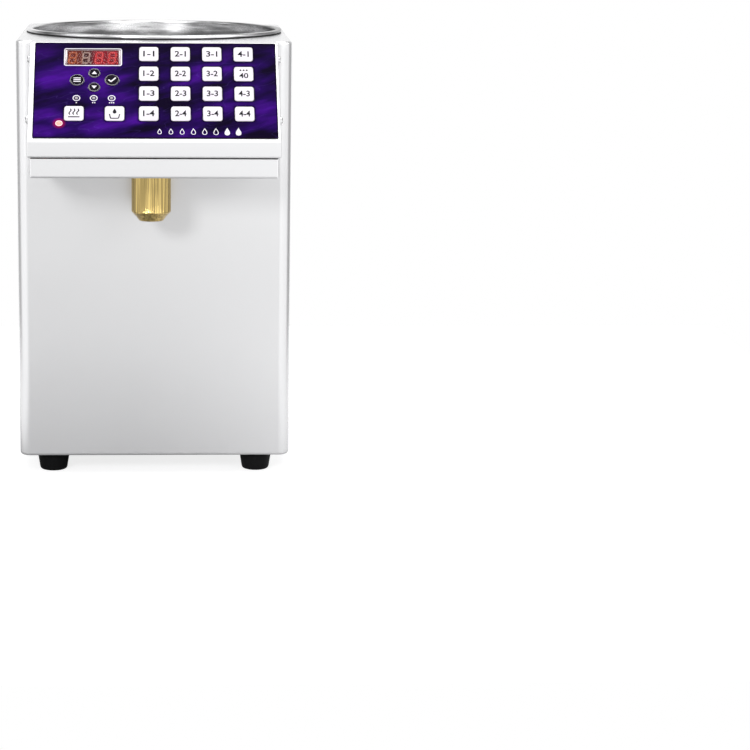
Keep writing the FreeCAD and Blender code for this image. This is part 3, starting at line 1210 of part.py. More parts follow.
def make_inlet():
    """Snap-in three-pin appliance inlet: the flanged housing with its recess, and the pins in it."""
    housing = new_body("power_inlet")
    set_place(housing, "[switch_across]", REAR, INLET_Z)
    flange = rounded(
        housing, "flange", "XZ_Plane", ("-[inlet_width] / 2", "-[inlet_tall] / 2"),
        ("[inlet_width] / 2", "[inlet_tall] / 2"), "[moulded_round]",
    )
    pad(housing, flange, "[inlet_flange]", back=True)
    side, high, cut_in = "([socket_width] / 2)", "([socket_tall] / 2)", "[socket_corner]"
    block = rounded(
        housing, "block", "XZ_Plane", (f"-{side} - [socket_side]", f"-{high} - [socket_cap]"),
        (f"{side} + [socket_side]", f"{high} + [socket_cap]"), "[block_corner]",
    )
    pad(housing, block, "[socket_deep] + [socket_back]")
    recess = polygon(housing, "recess", "XZ_Plane", [
        (f"-{side}", f"-{high}"), (side, f"-{high}"), (side, f"{high} - {cut_in}"),
        (f"{side} - {cut_in}", high), (f"-{side} + {cut_in}", high), (f"-{side}", f"{high} - {cut_in}"),
    ], "-[inlet_flange]")
    pocket(housing, recess, "[socket_deep] + [inlet_flange]", both=False, back=True)
    thin, tall, bottom = "[pin_thin]", "[pin_tall]", f"{REAR} - [socket_deep]"
    spots = (("-1 * [pin_apart]", "[pin_low]"), ("0", "[pin_top]"), ("[pin_apart]", "[pin_low]"))
    pins = []
    for i, (across, up) in enumerate(spots):
        low = (f"[switch_across] + {across} - {thin} / 2", bottom, f"{INLET_Z} + {up} - {tall} / 2")
        pins.append(box(f"pin{i}", (thin, "[pin_length]", tall), low))
    keep("inlet_pins", fuse("pin_group", *pins))


# ---------------------------------------------------------------- build and write

def build():
    """Makes every piece in turn."""
    fill_sheet()
    make_cabinet_shell()
    make_base_plate()
    make_service_cover()
    make_feet()
    make_panel_screws()
    make_base_screws()
    make_head_cover()
    make_head_box()
    make_panel_overlay()
    for key in key_list():
        make_key(*key)
    make_display()
    make_control_board()
    make_board_posts()
    make_tact_switches()
    make_indicator_lamps()
    make_tank()
    make_tank_fittings()
    make_pump()
    make_gears()
    make_motor()
    make_power_supply()
    make_hoses()
    make_nozzle()
    make_switch()
    make_inlet()
    doc.recompute()


def check_and_write():
    """Stops on any failed object or bad shape, then writes one STEP file per sub-part."""
    for obj in doc.Objects:
        if "Invalid" in obj.State or "Error" in obj.State:
            raise RuntimeError(f"{obj.Name} ({obj.Label}) is {obj.State}")
    os.makedirs("parts", exist_ok=True)
    for label, obj in nodes.items():
        shape = obj.Shape
        if shape.isNull() or not shape.isValid() or not shape.Solids:
            raise RuntimeError(f"{label} has no valid solid")
        shape.exportStep(os.path.join("parts", f"{label}.step"))
    print(f"{len(nodes)} sub-parts written")


build()
check_and_write()
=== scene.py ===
"""Looks of the countertop syrup dispenser.

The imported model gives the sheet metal, the working parts and every place.  This script dresses its nodes
with procedural finishes, makes new surfaces for the tank, nozzle, keys, digits, printed marks, lamps and
feet, and sets the camera, floor and lights.  Lengths are in metres, +Z is up and the front faces -Y.
"""

import logging
import math
from collections.abc import Callable, Iterable, Sequence
from dataclasses import dataclass, field
from enum import Enum
from typing import ClassVar

import bmesh
import bpy
import numpy as np
from mathutils import Euler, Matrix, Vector


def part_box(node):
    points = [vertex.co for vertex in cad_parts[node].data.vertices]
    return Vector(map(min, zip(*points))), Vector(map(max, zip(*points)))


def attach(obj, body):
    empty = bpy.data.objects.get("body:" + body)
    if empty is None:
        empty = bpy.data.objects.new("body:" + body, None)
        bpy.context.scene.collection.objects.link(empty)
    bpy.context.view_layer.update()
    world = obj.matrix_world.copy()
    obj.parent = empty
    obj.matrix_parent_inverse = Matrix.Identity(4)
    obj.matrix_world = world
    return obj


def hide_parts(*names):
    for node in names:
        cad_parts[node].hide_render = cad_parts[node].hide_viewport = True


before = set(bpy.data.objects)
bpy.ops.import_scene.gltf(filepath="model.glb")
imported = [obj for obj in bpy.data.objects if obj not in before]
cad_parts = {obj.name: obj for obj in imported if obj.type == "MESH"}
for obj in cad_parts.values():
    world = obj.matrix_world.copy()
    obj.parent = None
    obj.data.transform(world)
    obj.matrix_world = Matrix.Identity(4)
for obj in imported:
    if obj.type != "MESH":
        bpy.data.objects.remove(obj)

log = logging.getLogger("dispenser")

Grid = np.ndarray
Pair = tuple[float, float]
Colour = tuple[float, float, float]
Spot = tuple[float, float, float]
Material = bpy.types.Material
Owner = Material | bpy.types.World
Socket = bpy.types.NodeSocket
Value = Socket | float | int | Sequence[float]
Inputs = dict[str | int, Value] | None
Place = Callable[[Grid], Grid]

MM = 0.001
MACHINE = "machine"
WHITE = (1.0, 1.0, 1.0)
# How far the slope's top corner stands behind the head cover's front.
SLOPE_DEPTH = 86.5 * MM
# The numerals: how much bolder than the plain face, and the steps on each of their curves.
BOLD = 0.022
SMOOTH = 4
# Points nearer than this become one, and faces smaller than this across are dropped.
WELD = 1e-7
SLIVER = 1e-8


def placed(name: str, data: bpy.types.ID) -> bpy.types.Object:
    """Puts a new object into the scene.

    Args:
        name: Its name.
        data: Its mesh, curve, lamp or camera.

    Returns:
        The object.
    """
    made = bpy.data.objects.new(name, data)
    bpy.context.scene.collection.objects.link(made)
    return made


# ---------------------------------------------------------------- places

def mesh_points(mesh: bpy.types.Mesh) -> Grid:
    """The places of a mesh's vertices.

    Args:
        mesh: The mesh.

    Returns:
        Rows of x, y and z.
    """
    points = np.zeros(len(mesh.vertices) * 3, np.float32)
    mesh.vertices.foreach_get("co", points)
    return points.reshape(-1, 3).astype(float)


@dataclass(frozen=True)
class Slope:
    """The sloping face of the head: across is +X, up runs up the slope to its top corner, and rise is
    outwards from the sheet.

    Attributes:
        corner: The middle of the slope's top corner.
    """

    corner: Vector

    @classmethod
    def of_cover(cls) -> "Slope":
        """The head cover's slope, whose corner stands the slope's depth behind the cover's front."""
        low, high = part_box("head_cover")
        return cls(Vector((0.0, low.y + SLOPE_DEPTH, high.z)))

    def to_world(self, points: Grid) -> Grid:
        """Turns slope points into the model's frame: a turn of 45 degrees about +X, then a move.

        Args:
            points: Rows of across, up and rise.

        Returns:
            Rows of x, y and z.
        """
        across, up, rise = np.moveaxis(points, -1, 0)
        half = math.sqrt(0.5)
        y, z = (up - rise) * half, (up + rise) * half
        return np.stack([across, y, z], -1) + np.array(self.corner)

    def to_slope(self, points: Grid) -> Grid:
        """The reverse of to_world.

        Args:
            points: Rows of x, y and z.

        Returns:
            Rows of across, up and rise.
        """
        x, y, z = np.moveaxis(points - np.array(self.corner), -1, 0)
        half = math.sqrt(0.5)
        return np.stack([x, (y + z) * half, (z - y) * half], -1)

    def node_box(self, node: str) -> tuple[Grid, Grid]:
        """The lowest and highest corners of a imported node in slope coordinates."""
        points = self.to_slope(mesh_points(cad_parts[node].data))
        return points.min(0), points.max(0)

    def at(self, centre: Grid) -> Place:
        """A place function for shapes drawn about their own centre on the slope, given across and up."""
        shift = np.array([centre[0], centre[1], 0.0])
        return lambda points: self.to_world(points + shift)


SLOPE = Slope.of_cover()
ORIGIN = np.zeros(2)
POWER_RADIUS = 2.5 * MM


def power_spot() -> Grid:
    """Where the power lamp stands on the slope: its rim touches the low corner of the lamps' box."""
    return SLOPE.node_box("indicator_lamps")[0][:2] + POWER_RADIUS


def upright(node: str) -> Place:
    """A place function for shapes turned about a node's own upright axis, with heights kept as they are.

    Args:
        node: The node whose middle gives the axis.

    Returns:
        A function that moves points sideways onto the axis.
    """
    low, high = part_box(node)
    shift = np.array([(low.x + high.x) / 2, (low.y + high.y) / 2, 0.0])
    return lambda points: points + shift


# ---------------------------------------------------------------- surfaces

def softened(points: Sequence[Pair], trims: Sequence[float], steps: int = 5) -> Grid:
    """Rounds the corners of an open profile.

    Each corner gives way to the quadratic curve (1-t)^2 A + 2t(1-t) P + t^2 B, where P is the corner and A
    and B lie a trim length before and after it.

    Args:
        points: The profile's corners.
        trims: One trim length per corner; zero keeps the corner sharp.
        steps: Points on each curve.

    Returns:
        The rounded profile, as rows of two numbers.
    """
    spots = np.array(points, float)
    t = np.linspace(0.0, 1.0, steps)[:, None]
    rows = [spots[:1]]
    for before, corner, after, trim in zip(spots[:-2], spots[1:-1], spots[2:], trims[1:-1]):
        if trim == 0:
            rows.append(corner[None])
            continue
        start = corner + (before - corner) / np.linalg.norm(before - corner) * trim
        end = corner + (after - corner) / np.linalg.norm(after - corner) * trim
        rows.append((1 - t) ** 2 * start + 2 * t * (1 - t) * corner + t ** 2 * end)
    rows.append(spots[-1:])
    return np.concatenate(rows)


def turned(profile: Grid, count: int, ripple: Callable[[Grid, Grid], Grid] | None = None) -> Grid:
    """A surface of revolution: (r cos a, r sin a, z) for every profile point (r, z) and angle a.

    Args:
        profile: Rows of radius and height.
        count: Angles round the axis.
        ripple: Gives an extra radius from the profile's rows and the angles.

    Returns:
        A grid with one row per profile point and one column per angle.
    """
    angles = np.linspace(0.0, 2 * math.pi, count, endpoint=False)
    radius = np.repeat(profile[:, :1], count, axis=1)
    if ripple is not None:
        radius = radius + ripple(profile, angles)
    height = np.repeat(profile[:, 1:], count, axis=1)
    return np.stack([radius * np.cos(angles), radius * np.sin(angles), height], -1)


def rounded_outline(half_x: float, half_y: float, radius: float, per_corner: int = 7) -> tuple[Grid, Grid]:
    """A rounded rectangle as corner centres and outward directions, so that centre + r * direction gives
    the outline at any corner radius r.

    Args:
        half_x: Half the width.
        half_y: Half the height.
        radius: The corner radius.
        per_corner: Points on each corner.

    Returns:
        The centres and the directions, one row per point.
    """
    turns = np.linspace(0.0, math.pi / 2, per_corner)
    angles = (np.arange(4)[:, None] * math.pi / 2 + turns).ravel()
    signs = np.array([[1, 1], [-1, 1], [-1, -1], [1, -1]]).repeat(per_corner, axis=0)
    centres = signs * np.array([half_x - radius, half_y - radius])
    return centres, np.stack([np.cos(angles), np.sin(angles)], -1)


def circle(radius: float, count: int = 48) -> Grid:
    """The points of a circle about the origin, counter-clockwise."""
    angles = np.linspace(0.0, 2 * math.pi, count, endpoint=False)
    return radius * np.stack([np.cos(angles), np.sin(angles)], -1)


def level_line(half: float, up: float) -> Grid:
    """A level line at the height up, from -half to half, in millimetres."""
    return np.array([[-half, up], [0.0, up], [half, up]]) * MM


@dataclass
class Skin:
    """Vertices and faces gathered for one piece, before it becomes a mesh.

    Attributes:
        vertices: Blocks of points.
        faces: Faces as tuples of vertex numbers.
        count: Points gathered so far.
    """

    vertices: list[Grid] = field(default_factory=list)
    faces: list[tuple[int, ...]] = field(default_factory=list)
    count: int = 0

    def add_mesh(self, points: Grid, faces: Iterable[Sequence[int]]) -> "Skin":
        """Adds loose vertices and faces.

        Args:
            points: Rows of three numbers.
            faces: Faces that number those rows from zero.

        Returns:
            The skin itself.
        """
        self.faces += [tuple(int(i) + self.count for i in face) for face in faces]
        self.vertices.append(points)
        self.count += len(points)
        return self

    def add_grid(self, grid: Grid, capped: bool = False) -> "Skin":
        """Adds a surface whose columns close into rings.

        Args:
            grid: Points by row and column.
            capped: Whether the first and last rings are closed with a flat face each.

        Returns:
            The skin itself.
        """
        rows, columns = grid.shape[:2]
        row = np.arange(rows - 1)[:, None] * columns
        column = np.arange(columns)[None, :]
        beside = (column + 1) % columns
        corners = [row + column, row + beside, row + beside + columns, row + column + columns]
        faces = np.stack([np.broadcast_to(c, (rows - 1, columns)) for c in corners], -1)
        listed = [tuple(face) for face in faces.reshape(-1, 4).tolist()]
        if capped:
            last = (rows - 1) * columns
            listed += [tuple(range(columns - 1, -1, -1)), tuple(range(last, last + columns))]
        return self.add_mesh(grid.reshape(-1, 3), listed)

    def add_plate(self, outline: Grid, low: float, high: float) -> "Skin":
        """Adds a flat plate of a counter-clockwise outline, from the height low to the height high."""
        levels = [np.column_stack([outline, np.full(len(outline), height)]) for height in (low, high)]
        return self.add_grid(np.stack(levels), capped=True)

    def add_stroke(self, path: Grid, width: float, low: float, high: float, closed: bool = False) -> "Skin":
        """Adds a stroke: a flat rectangular section carried along a path.

        At each point the section's two sides lie half the width to the left and right of the path, along
        its normal.

        Args:
            path: Rows of two numbers.
            width: The stroke's width.
            low: The lower face's height.
            high: The upper face's height.
            closed: Whether the path's end joins its start.

        Returns:
            The skin itself.
        """
        if closed:
            path = np.concatenate([path, path[:1]])
            heading = np.gradient(np.concatenate([path[-2:-1], path, path[1:2]]), axis=0)[1:-1]
        else:
            heading = np.gradient(path, axis=0)
        heading = heading / np.linalg.norm(heading, axis=1, keepdims=True)
        side = np.stack([-heading[:, 1], heading[:, 0]], -1) * width / 2
        left, right = path + side, path - side
        rails = [(left, low), (right, low), (right, high), (left, high)]
        grid = np.stack([np.column_stack([rail, np.full(len(rail), h)]) for rail, h in rails], 1)
        return self.add_grid(grid, capped=not closed)

    def add_ring(self, radius: float, middle: Grid, width: float, low: float, high: float) -> "Skin":
        """Adds a round stroke about a middle, from the height low to the height high."""
        return self.add_stroke(circle(radius) + middle, width, low, high, closed=True)

    def add_words(self, words: str, box: Pair, middle: Pair, high: float) -> "Skin":
        """Adds numerals, drawn in the plain built-in face and fitted to a box.

        Args:
            words: What to write.
            box: The width and height that it fills.
            middle: The box's centre.
            high: The thickness of the print.

        Returns:
            The skin itself.
        """
        curve = bpy.data.curves.new("numerals", "FONT")
        curve.body = words
        curve.resolution_u = SMOOTH
        curve.extrude = high / 2
        curve.offset = BOLD
        holder = placed("numerals", curve)
        graph = bpy.context.evaluated_depsgraph_get()
        mesh = bpy.data.meshes.new_from_object(holder.evaluated_get(graph))
        points = mesh_points(mesh)
        faces = [tuple(polygon.vertices) for polygon in mesh.polygons]
        bpy.data.objects.remove(holder)
        bpy.data.curves.remove(curve)
        bpy.data.meshes.remove(mesh)
        low, top = points[:, :2].min(0), points[:, :2].max(0)
        flat = (points[:, :2] - (low + top) / 2) / (top - low) * np.array(box) + np.array(middle)
        return self.add_mesh(np.column_stack([flat, points[:, 2] + high / 2]), faces)

    def lifted(self, height: Callable[[Grid], Grid]) -> "Skin":
        """Raises every point by a height that depends on its flat place.

        Args:
            height: Gives heights from rows of two numbers.

        Returns:
            The skin itself.
        """
        for block in self.vertices:
            block[:, 2] += height(block[:, :2])
        return self

    def piece(
        self, name: str, place: Place, material: Material, slot: str, body: str,
        stands_for: Sequence[str] = (), sharp_degrees: float = 35.0,
    ) -> bpy.types.Object:
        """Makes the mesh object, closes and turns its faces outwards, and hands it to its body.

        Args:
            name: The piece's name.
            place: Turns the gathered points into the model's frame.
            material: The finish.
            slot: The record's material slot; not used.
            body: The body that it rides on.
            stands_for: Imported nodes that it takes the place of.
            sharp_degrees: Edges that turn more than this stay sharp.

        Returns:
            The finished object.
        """
        mesh = bpy.data.meshes.new(name)
        mesh.from_pydata(place(np.concatenate(self.vertices)).tolist(), [], self.faces)
        work = bmesh.new()
        work.from_mesh(mesh)
        bmesh.ops.remove_doubles(work, verts=work.verts, dist=WELD)
        bmesh.ops.dissolve_degenerate(work, edges=work.edges, dist=SLIVER)
        bmesh.ops.recalc_face_normals(work, faces=work.faces)
        work.to_mesh(mesh)
        work.free()
        mesh.shade_smooth()
        mesh.set_sharp_from_angle(angle=math.radians(sharp_degrees))
        mesh.materials.append(material)
        made = placed(name, mesh)
        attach(made, body)
        if stands_for:
            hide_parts(*stands_for)
        log.info("%s: %d faces on %s", name, len(mesh.polygons), body)
        return made


# ---------------------------------------------------------------- finishes

class Bench:
    """A workbench for the nodes of one material or world.

    Attributes:
        owner: The material or world.
        tree: Its node tree.
        output: Its output node.
    """

    def __init__(self, owner: Owner, output: str) -> None:
        """Empties the owner's tree and adds its output.

        Args:
            owner: The material or world.
            output: The type of its output node.
        """
        self.owner = owner
        owner.use_nodes = True
        self.tree = owner.node_tree
        self.tree.nodes.clear()
        self.output = self.tree.nodes.new(output)

    @classmethod
    def for_material(cls, name: str) -> "Bench":
        """A bench for a new material of that name."""
        return cls(bpy.data.materials.new(name), "ShaderNodeOutputMaterial")

    def fill(self, socket: Socket, value: Value) -> None:
        """Links or sets a socket.

        Args:
            socket: The socket.
            value: Another node's socket, a number, a vector or a colour.
        """
        if isinstance(value, Socket):
            self.tree.links.new(value, socket)
        elif socket.type == "RGBA":
            socket.default_value = (*value, 1.0)
        else:
            socket.default_value = value

    def node(self, kind: str, inputs: Inputs = None, **settings: object) -> bpy.types.Node:
        """Adds a node.

        Args:
            kind: The node's type.
            inputs: Sockets to link or fill, by name or number.
            **settings: The node's own properties.

        Returns:
            The node.
        """
        made = self.tree.nodes.new(kind)
        for name, setting in settings.items():
            setattr(made, name, setting)
        for name, value in (inputs or {}).items():
            self.fill(made.inputs[name], value)
        return made

    def math(self, operation: str, *values: Value, clamp: bool = False) -> Socket:
        """A Math node's result."""
        inputs = dict(enumerate(values))
        return self.node("ShaderNodeMath", inputs, operation=operation, use_clamp=clamp).outputs[0]

    def weighed(self, first: Sequence[Value], second: Sequence[Value], clamp: bool = False) -> Socket:
        """The sum of two values, each given with its weight."""
        return self.math("ADD", self.math("MULTIPLY", *first), self.math("MULTIPLY", *second), clamp=clamp)

    def length(self, first: Value, second: Value) -> Socket:
        """The length of a vector of two legs."""
        return self.math("SQRT", self.weighed((first, first), (second, second)))

    def past(self, value: Value, half: float) -> Socket:
        """How far a value lies outside the range from -half to half; below zero within it."""
        return self.math("SUBTRACT", self.math("ABSOLUTE", value), half)

    def vector(self, **parts: Value) -> Socket:
        """A vector from its named parts; a part left out is zero."""
        return self.node("ShaderNodeCombineXYZ", parts).outputs[0]

    def parts(self, vector: Value) -> Sequence[Socket]:
        """A vector's X, Y and Z."""
        return tuple(self.node("ShaderNodeSeparateXYZ", {"Vector": vector}).outputs)

    def mix(self, factor: Value, first: Value, second: Value) -> Socket:
        """A blend of two colours."""
        inputs = {0: factor, 6: first, 7: second}
        return self.node("ShaderNodeMix", inputs, data_type="RGBA").outputs[2]

    def blend(self, factor: Value, first: Value, second: Value) -> Socket:
        """A blend of two numbers."""
        return self.node("ShaderNodeMix", {0: factor, 2: first, 3: second}).outputs[0]

    def span(
        self, value: Value, start: float, end: float, low: float = 0.0, high: float = 1.0, smooth: bool = True
    ) -> Socket:
        """Maps one range to another.

        Args:
            value: The value.
            start: Where its range starts.
            end: Where its range ends.
            low: The result at the start.
            high: The result at the end.
            smooth: Whether the ends are eased.

        Returns:
            The result, which stays at low or high outside the range.
        """
        inputs = {"Value": value, "From Min": start, "From Max": end, "To Min": low, "To Max": high}
        kind = "SMOOTHSTEP" if smooth else "LINEAR"
        return self.node("ShaderNodeMapRange", inputs, interpolation_type=kind).outputs["Result"]

    def ramp(self, factor: Value, stops: Sequence[tuple[float, Colour]]) -> Socket:
        """A colour ramp.

        Args:
            factor: The place on the ramp.
            stops: Places and their colours.

        Returns:
            The colour.
        """
        made = self.node("ShaderNodeValToRGB", {"Fac": factor})
        elements = made.color_ramp.elements
        while len(elements) < len(stops):
            elements.new(0.5)
        for element, (position, colour) in zip(elements, stops):
            element.position = position
            element.color = (*colour, 1.0)
        return made.outputs["Color"]

    def spots(self, scale: Value = (1, 1, 1), turn: Value = (0, 0, 0), move: Value = (0, 0, 0)) -> Socket:
        """Object coordinates, scaled, then turned, then moved.

        Args:
            scale: The scale along X, Y and Z.
            turn: The turn about them, in radians.
            move: The move.

        Returns:
            The coordinates.
        """
        source = self.node("ShaderNodeTexCoord").outputs["Object"]
        inputs = {"Vector": source, "Scale": scale, "Rotation": turn, "Location": move}
        return self.node("ShaderNodeMapping", inputs).outputs["Vector"]

    def slope_spots(self) -> tuple[Socket, Socket]:
        """Places on the sloping face.

        Returns:
            Across and up, in millimetres.
        """
        scale = 1 / MM
        turn = Euler((-math.pi / 4, 0, 0))
        corner = SLOPE.corner.copy()
        corner.rotate(turn)
        across, up, _ = self.parts(self.spots((scale,) * 3, tuple(turn), tuple(-corner * scale)))
        return across, up

    def noise(self, vector: Value, scale: float, detail: float = 2.0, roughness: float = 0.5) -> Socket:
        """A noise texture's factor."""
        inputs = {"Vector": vector, "Scale": scale, "Detail": detail, "Roughness": roughness}
        return self.node("ShaderNodeTexNoise", inputs).outputs["Fac"]

    def bump(self, height: Value, strength: float, distance: float) -> Socket:
        """A bump normal."""
        inputs = {"Height": height, "Strength": strength, "Distance": distance}
        return self.node("ShaderNodeBump", inputs).outputs["Normal"]

    def background_rays(self) -> Socket:
        """Marks the rays that see the background as it looks: camera, glossy and transmission rays.

        Returns:
            One for those rays and zero for the rest.
        """
        rays = self.node("ShaderNodeLightPath").outputs
        either = self.math("MAXIMUM", rays["Is Camera Ray"], rays["Is Glossy Ray"])
        return self.math("MAXIMUM", either, rays["Is Transmission Ray"])

    def camera_rays(self) -> Socket:
        """One for camera rays, else zero."""
        return self.node("ShaderNodeLightPath").outputs["Is Camera Ray"]

    def close(self, shader: Socket) -> Owner:
        """Links the last shader to the output and returns the owner."""
        self.fill(self.output.inputs["Surface"], shader)
        return self.owner

    def finish(self, **inputs: Value) -> Material:
        """Closes the material with a principled shader.

        Args:
            **inputs: The shader's sockets, their names in lower case with underscores.

        Returns:
            The material.
        """
        shader = self.node("ShaderNodeBsdfPrincipled")
        names = {socket.name.lower().replace(" ", "_"): socket for socket in shader.inputs}
        for name, value in inputs.items():
            self.fill(names[name], value)
        return self.close(shader.outputs["BSDF"])


def scaled(tone: Colour, share: float) -> Colour:
    """A colour times a share."""
    return tuple(channel * share for channel in tone)


class Grain(Enum):
    """How a metal's polishing lines run: noise scales along X, Y and Z."""

    KNURL = (620.0, 620.0, 6.0)
    ROUND_AXIS = (3.0, 3.0, 900.0)
    CAST = (420.0, 420.0, 420.0)


@dataclass(frozen=True)
class Metal:
    """Bare or plated metal with fine polishing lines and a faint change of tone.

    Attributes:
        tone: The colour of its reflections.
        roughness: How blurred they are.
        grain: How the polishing lines run.
        lines: The lines' depth, in metres.
        change: How much the tone changes over the surface.
        groove: How much darker the polishing lines are painted: painted shade that stands in for the shade in
            the knurl's grooves.
    """

    tone: Colour
    roughness: float
    grain: Grain
    lines: float = 0.00001
    change: float = 0.03
    groove: float = 0.0

    def make(self, name: str) -> Material:
        """Builds the material.

        Args:
            name: The material's name.

        Returns:
            The material.
        """
        bench = Bench.for_material(name)
        fine = bench.noise(bench.spots(self.grain.value), 1.0, 3.0, 0.6)
        broad = bench.noise(bench.spots(), 9.0, 2.0)
        colour = bench.mix(bench.span(broad, 0.35, 0.65), self.tone, scaled(self.tone, 1 - self.change))
        # Painted shade: groove darkens the polishing lines, standing in for the shade in the knurl's grooves.
        if self.groove > 0:
            deep = scaled(self.tone, 1 - self.groove)
            colour = bench.mix(bench.span(fine, 0.40, 0.60), colour, deep)
        spread = 0.06 * self.roughness + 0.01
        rough = bench.span(fine, 0.3, 0.7, self.roughness - spread, self.roughness + spread)
        normal = bench.bump(fine, 0.6, self.lines)
        return bench.finish(base_color=colour, metallic=1.0, roughness=rough, normal=normal)


@dataclass(frozen=True)
class Satin:
    """A smooth satin surface between metal and enamel, with a broad faint change of its sheen.

    Attributes:
        tone: The colour.
        roughness: How blurred its reflections are.
        metallic: The share of bare metal.
    """

    tone: Colour
    roughness: float
    metallic: float

    def make(self, name: str) -> Material:
        """Builds the material: broad noise changes the roughness a little.

        Args:
            name: The material's name.

        Returns:
            The material.
        """
        bench = Bench.for_material(name)
        broad = bench.noise(bench.spots(), 6.0, 2.0)
        rough = bench.span(broad, 0.3, 0.7, self.roughness - 0.01, self.roughness + 0.01)
        return bench.finish(base_color=self.tone, metallic=self.metallic, roughness=rough)


@dataclass(frozen=True)
class SpunSteel:
    """Polished spun steel: fine rings round the tank's upright axis, and long soft painted reflection streaks
    along them.

    Attributes:
        tone: The colour of its reflections.
        dark: How dark the deepest painted reflection band is, as a share of the tone.
        roughness: How blurred the reflections are.
        by_height: How fast the streaks change with the height, per metre.
        by_reach: How fast they change with the distance from the axis.
    """

    tone: Colour
    dark: float
    roughness: float
    by_height: float = 55.0
    by_reach: float = 45.0

    def make(self, name: str) -> Material:
        """Builds the material: the painted reflection streaks are noise over the direction from the axis and
        the height, the height drawn out so that they run round.

        Args:
            name: The material's name.

        Returns:
            The material.
        """
        bench = Bench.for_material(name)
        low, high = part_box("tank")
        middle = (low + high) / 2
        x, y, z = bench.parts(bench.spots(move=(-middle.x, -middle.y, -high.z)))
        level = bench.vector(X=x, Y=y)
        around = bench.node("ShaderNodeVectorMath", {0: level}, operation="NORMALIZE").outputs[0]
        slide = bench.vector(Z=bench.weighed((z, self.by_height), (bench.length(x, y), self.by_reach)))
        flow = bench.node("ShaderNodeVectorMath", {0: around, 1: slide}, operation="ADD").outputs[0]
        painted_reflection_streak = bench.span(bench.noise(flow, 1.3, 3.0, 0.55), 0.38, 0.62)
        rings = bench.noise(bench.spots(Grain.ROUND_AXIS.value), 1.0, 3.0, 0.6)
        # Painted reflection: the noise bands darken and lighten the tone, standing in for the tank's
        # reflections.
        colour = bench.mix(painted_reflection_streak, scaled(self.tone, self.dark), self.tone)
        normal = bench.bump(rings, 0.5, 0.000006)
        return bench.finish(base_color=colour, metallic=1.0, roughness=self.roughness, normal=normal)


@dataclass(frozen=True)
class Moulded:
    """Moulded plastic, rubber or enamel with a fine skin texture.

    Attributes:
        tone: The base colour.
        roughness: How blurred its sheen is.
        pores: The noise scale of its skin.
        depth: The skin's depth, in metres.
        coat: The weight of a clear glossy coat.
        specular: The strength of its plain reflections.
        glow: The weight of light scattered inside it.
    """

    tone: Colour
    roughness: float
    pores: float = 900.0
    depth: float = 0.00004
    coat: float = 0.0
    specular: float = 0.5
    glow: float = 0.0

    def make(self, name: str) -> Material:
        """Builds the material.

        Args:
            name: The material's name.

        Returns:
            The material.
        """
        bench = Bench.for_material(name)
        skin = bench.noise(bench.spots(), self.pores, 3.0, 0.6)
        broad = bench.noise(bench.spots(), 30.0, 2.0)
        lighter = tuple(min(1.0, channel * 1.12 + 0.002) for channel in self.tone)
        colour = bench.mix(bench.span(broad, 0.3, 0.7), self.tone, lighter)
        rough = bench.span(skin, 0.3, 0.7, self.roughness * 0.92, min(1.0, self.roughness * 1.08))
        return bench.finish(
            base_color=colour, roughness=rough, normal=bench.bump(skin, 0.5, self.depth),
            coat_weight=self.coat, coat_roughness=0.08, specular_ior_level=self.specular,
            subsurface_weight=self.glow, subsurface_scale=0.002,
        )


@dataclass(frozen=True)
class Board:
    """Green circuit board: darker lacquer with lighter tracks along two directions.

    Attributes:
        lacquer: The tone between the tracks.
        track: The tracks' tone.
        pitch: The steps between tracks, across and up, in millimetres.
    """

    lacquer: Colour = (0.008, 0.09, 0.03)
    track: Colour = (0.02, 0.2, 0.07)
    pitch: Pair = (2.54, 3.8)

    def make(self, name: str) -> Material:
        """Builds the material: tracks are thin bands of two crossed waves, broken up by noise.

        Args:
            name: The material's name.

        Returns:
            The material.
        """
        bench = Bench.for_material(name)
        across, up = bench.slope_spots()
        waves = [bench.math("PINGPONG", place, pitch / 2) for place, pitch in zip((across, up), self.pitch)]
        lines = [bench.span(wave, 0.25, 0.4, 1.0, 0.0) for wave in waves]
        patch = bench.span(bench.noise(bench.spots(), 60.0, 1.0), 0.48, 0.52)
        rest = bench.math("SUBTRACT", 1.0, patch)
        tracks = bench.weighed((lines[0], patch), (lines[1], rest), clamp=True)
        colour = bench.mix(tracks, self.lacquer, self.track)
        return bench.finish(base_color=colour, roughness=0.3, normal=bench.bump(tracks, 0.3, 0.00003))


@dataclass(frozen=True)
class KeyBlock:
    """A regular block of keys on the film, in slope millimetres.

    Attributes:
        across: The first key's place across.
        up: The first key's place up the slope.
        pitch: The steps across and up.
        counts: How many keys across and down.
    """

    across: float
    up: float
    pitch: Pair
    counts: tuple[int, int]

    @classmethod
    def between(cls, first: str, last: str, counts: tuple[int, int]) -> "KeyBlock":
        """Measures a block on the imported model.

        Args:
            first: The key at its lower left.
            last: The key at its upper right.
            counts: How many keys across and down.

        Returns:
            The block.
        """
        start, end = (sum(SLOPE.node_box(key))[:2] / 2 / MM for key in (first, last))
        pitch = np.maximum((end - start) / np.maximum(np.array(counts) - 1, 1), 1.0)
        return cls(start[0], start[1], tuple(pitch), counts)

    def distance(self, bench: Bench, across: Value, up: Value, half: Pair) -> Socket:
        """The distance to the nearest key's box: |p - centre| less half its size, never below zero.

        Args:
            bench: The material's bench.
            across: The place across.
            up: The place up the slope.
            half: Half the box's width and height.

        Returns:
            The distance, in millimetres.
        """
        legs = []
        rows = zip((across, up), (self.across, self.up), self.pitch, self.counts, half)
        for place, first, step, count, reach in rows:
            offset = bench.math("SUBTRACT", place, first)
            index = bench.math("ROUND", bench.math("DIVIDE", offset, step))
            index = bench.math("MINIMUM", bench.math("MAXIMUM", index, 0.0), float(count - 1))
            nearest = bench.math("SUBTRACT", offset, bench.math("MULTIPLY", index, step))
            legs.append(bench.math("MAXIMUM", bench.past(nearest, reach), 0.0))
        return bench.length(*legs)


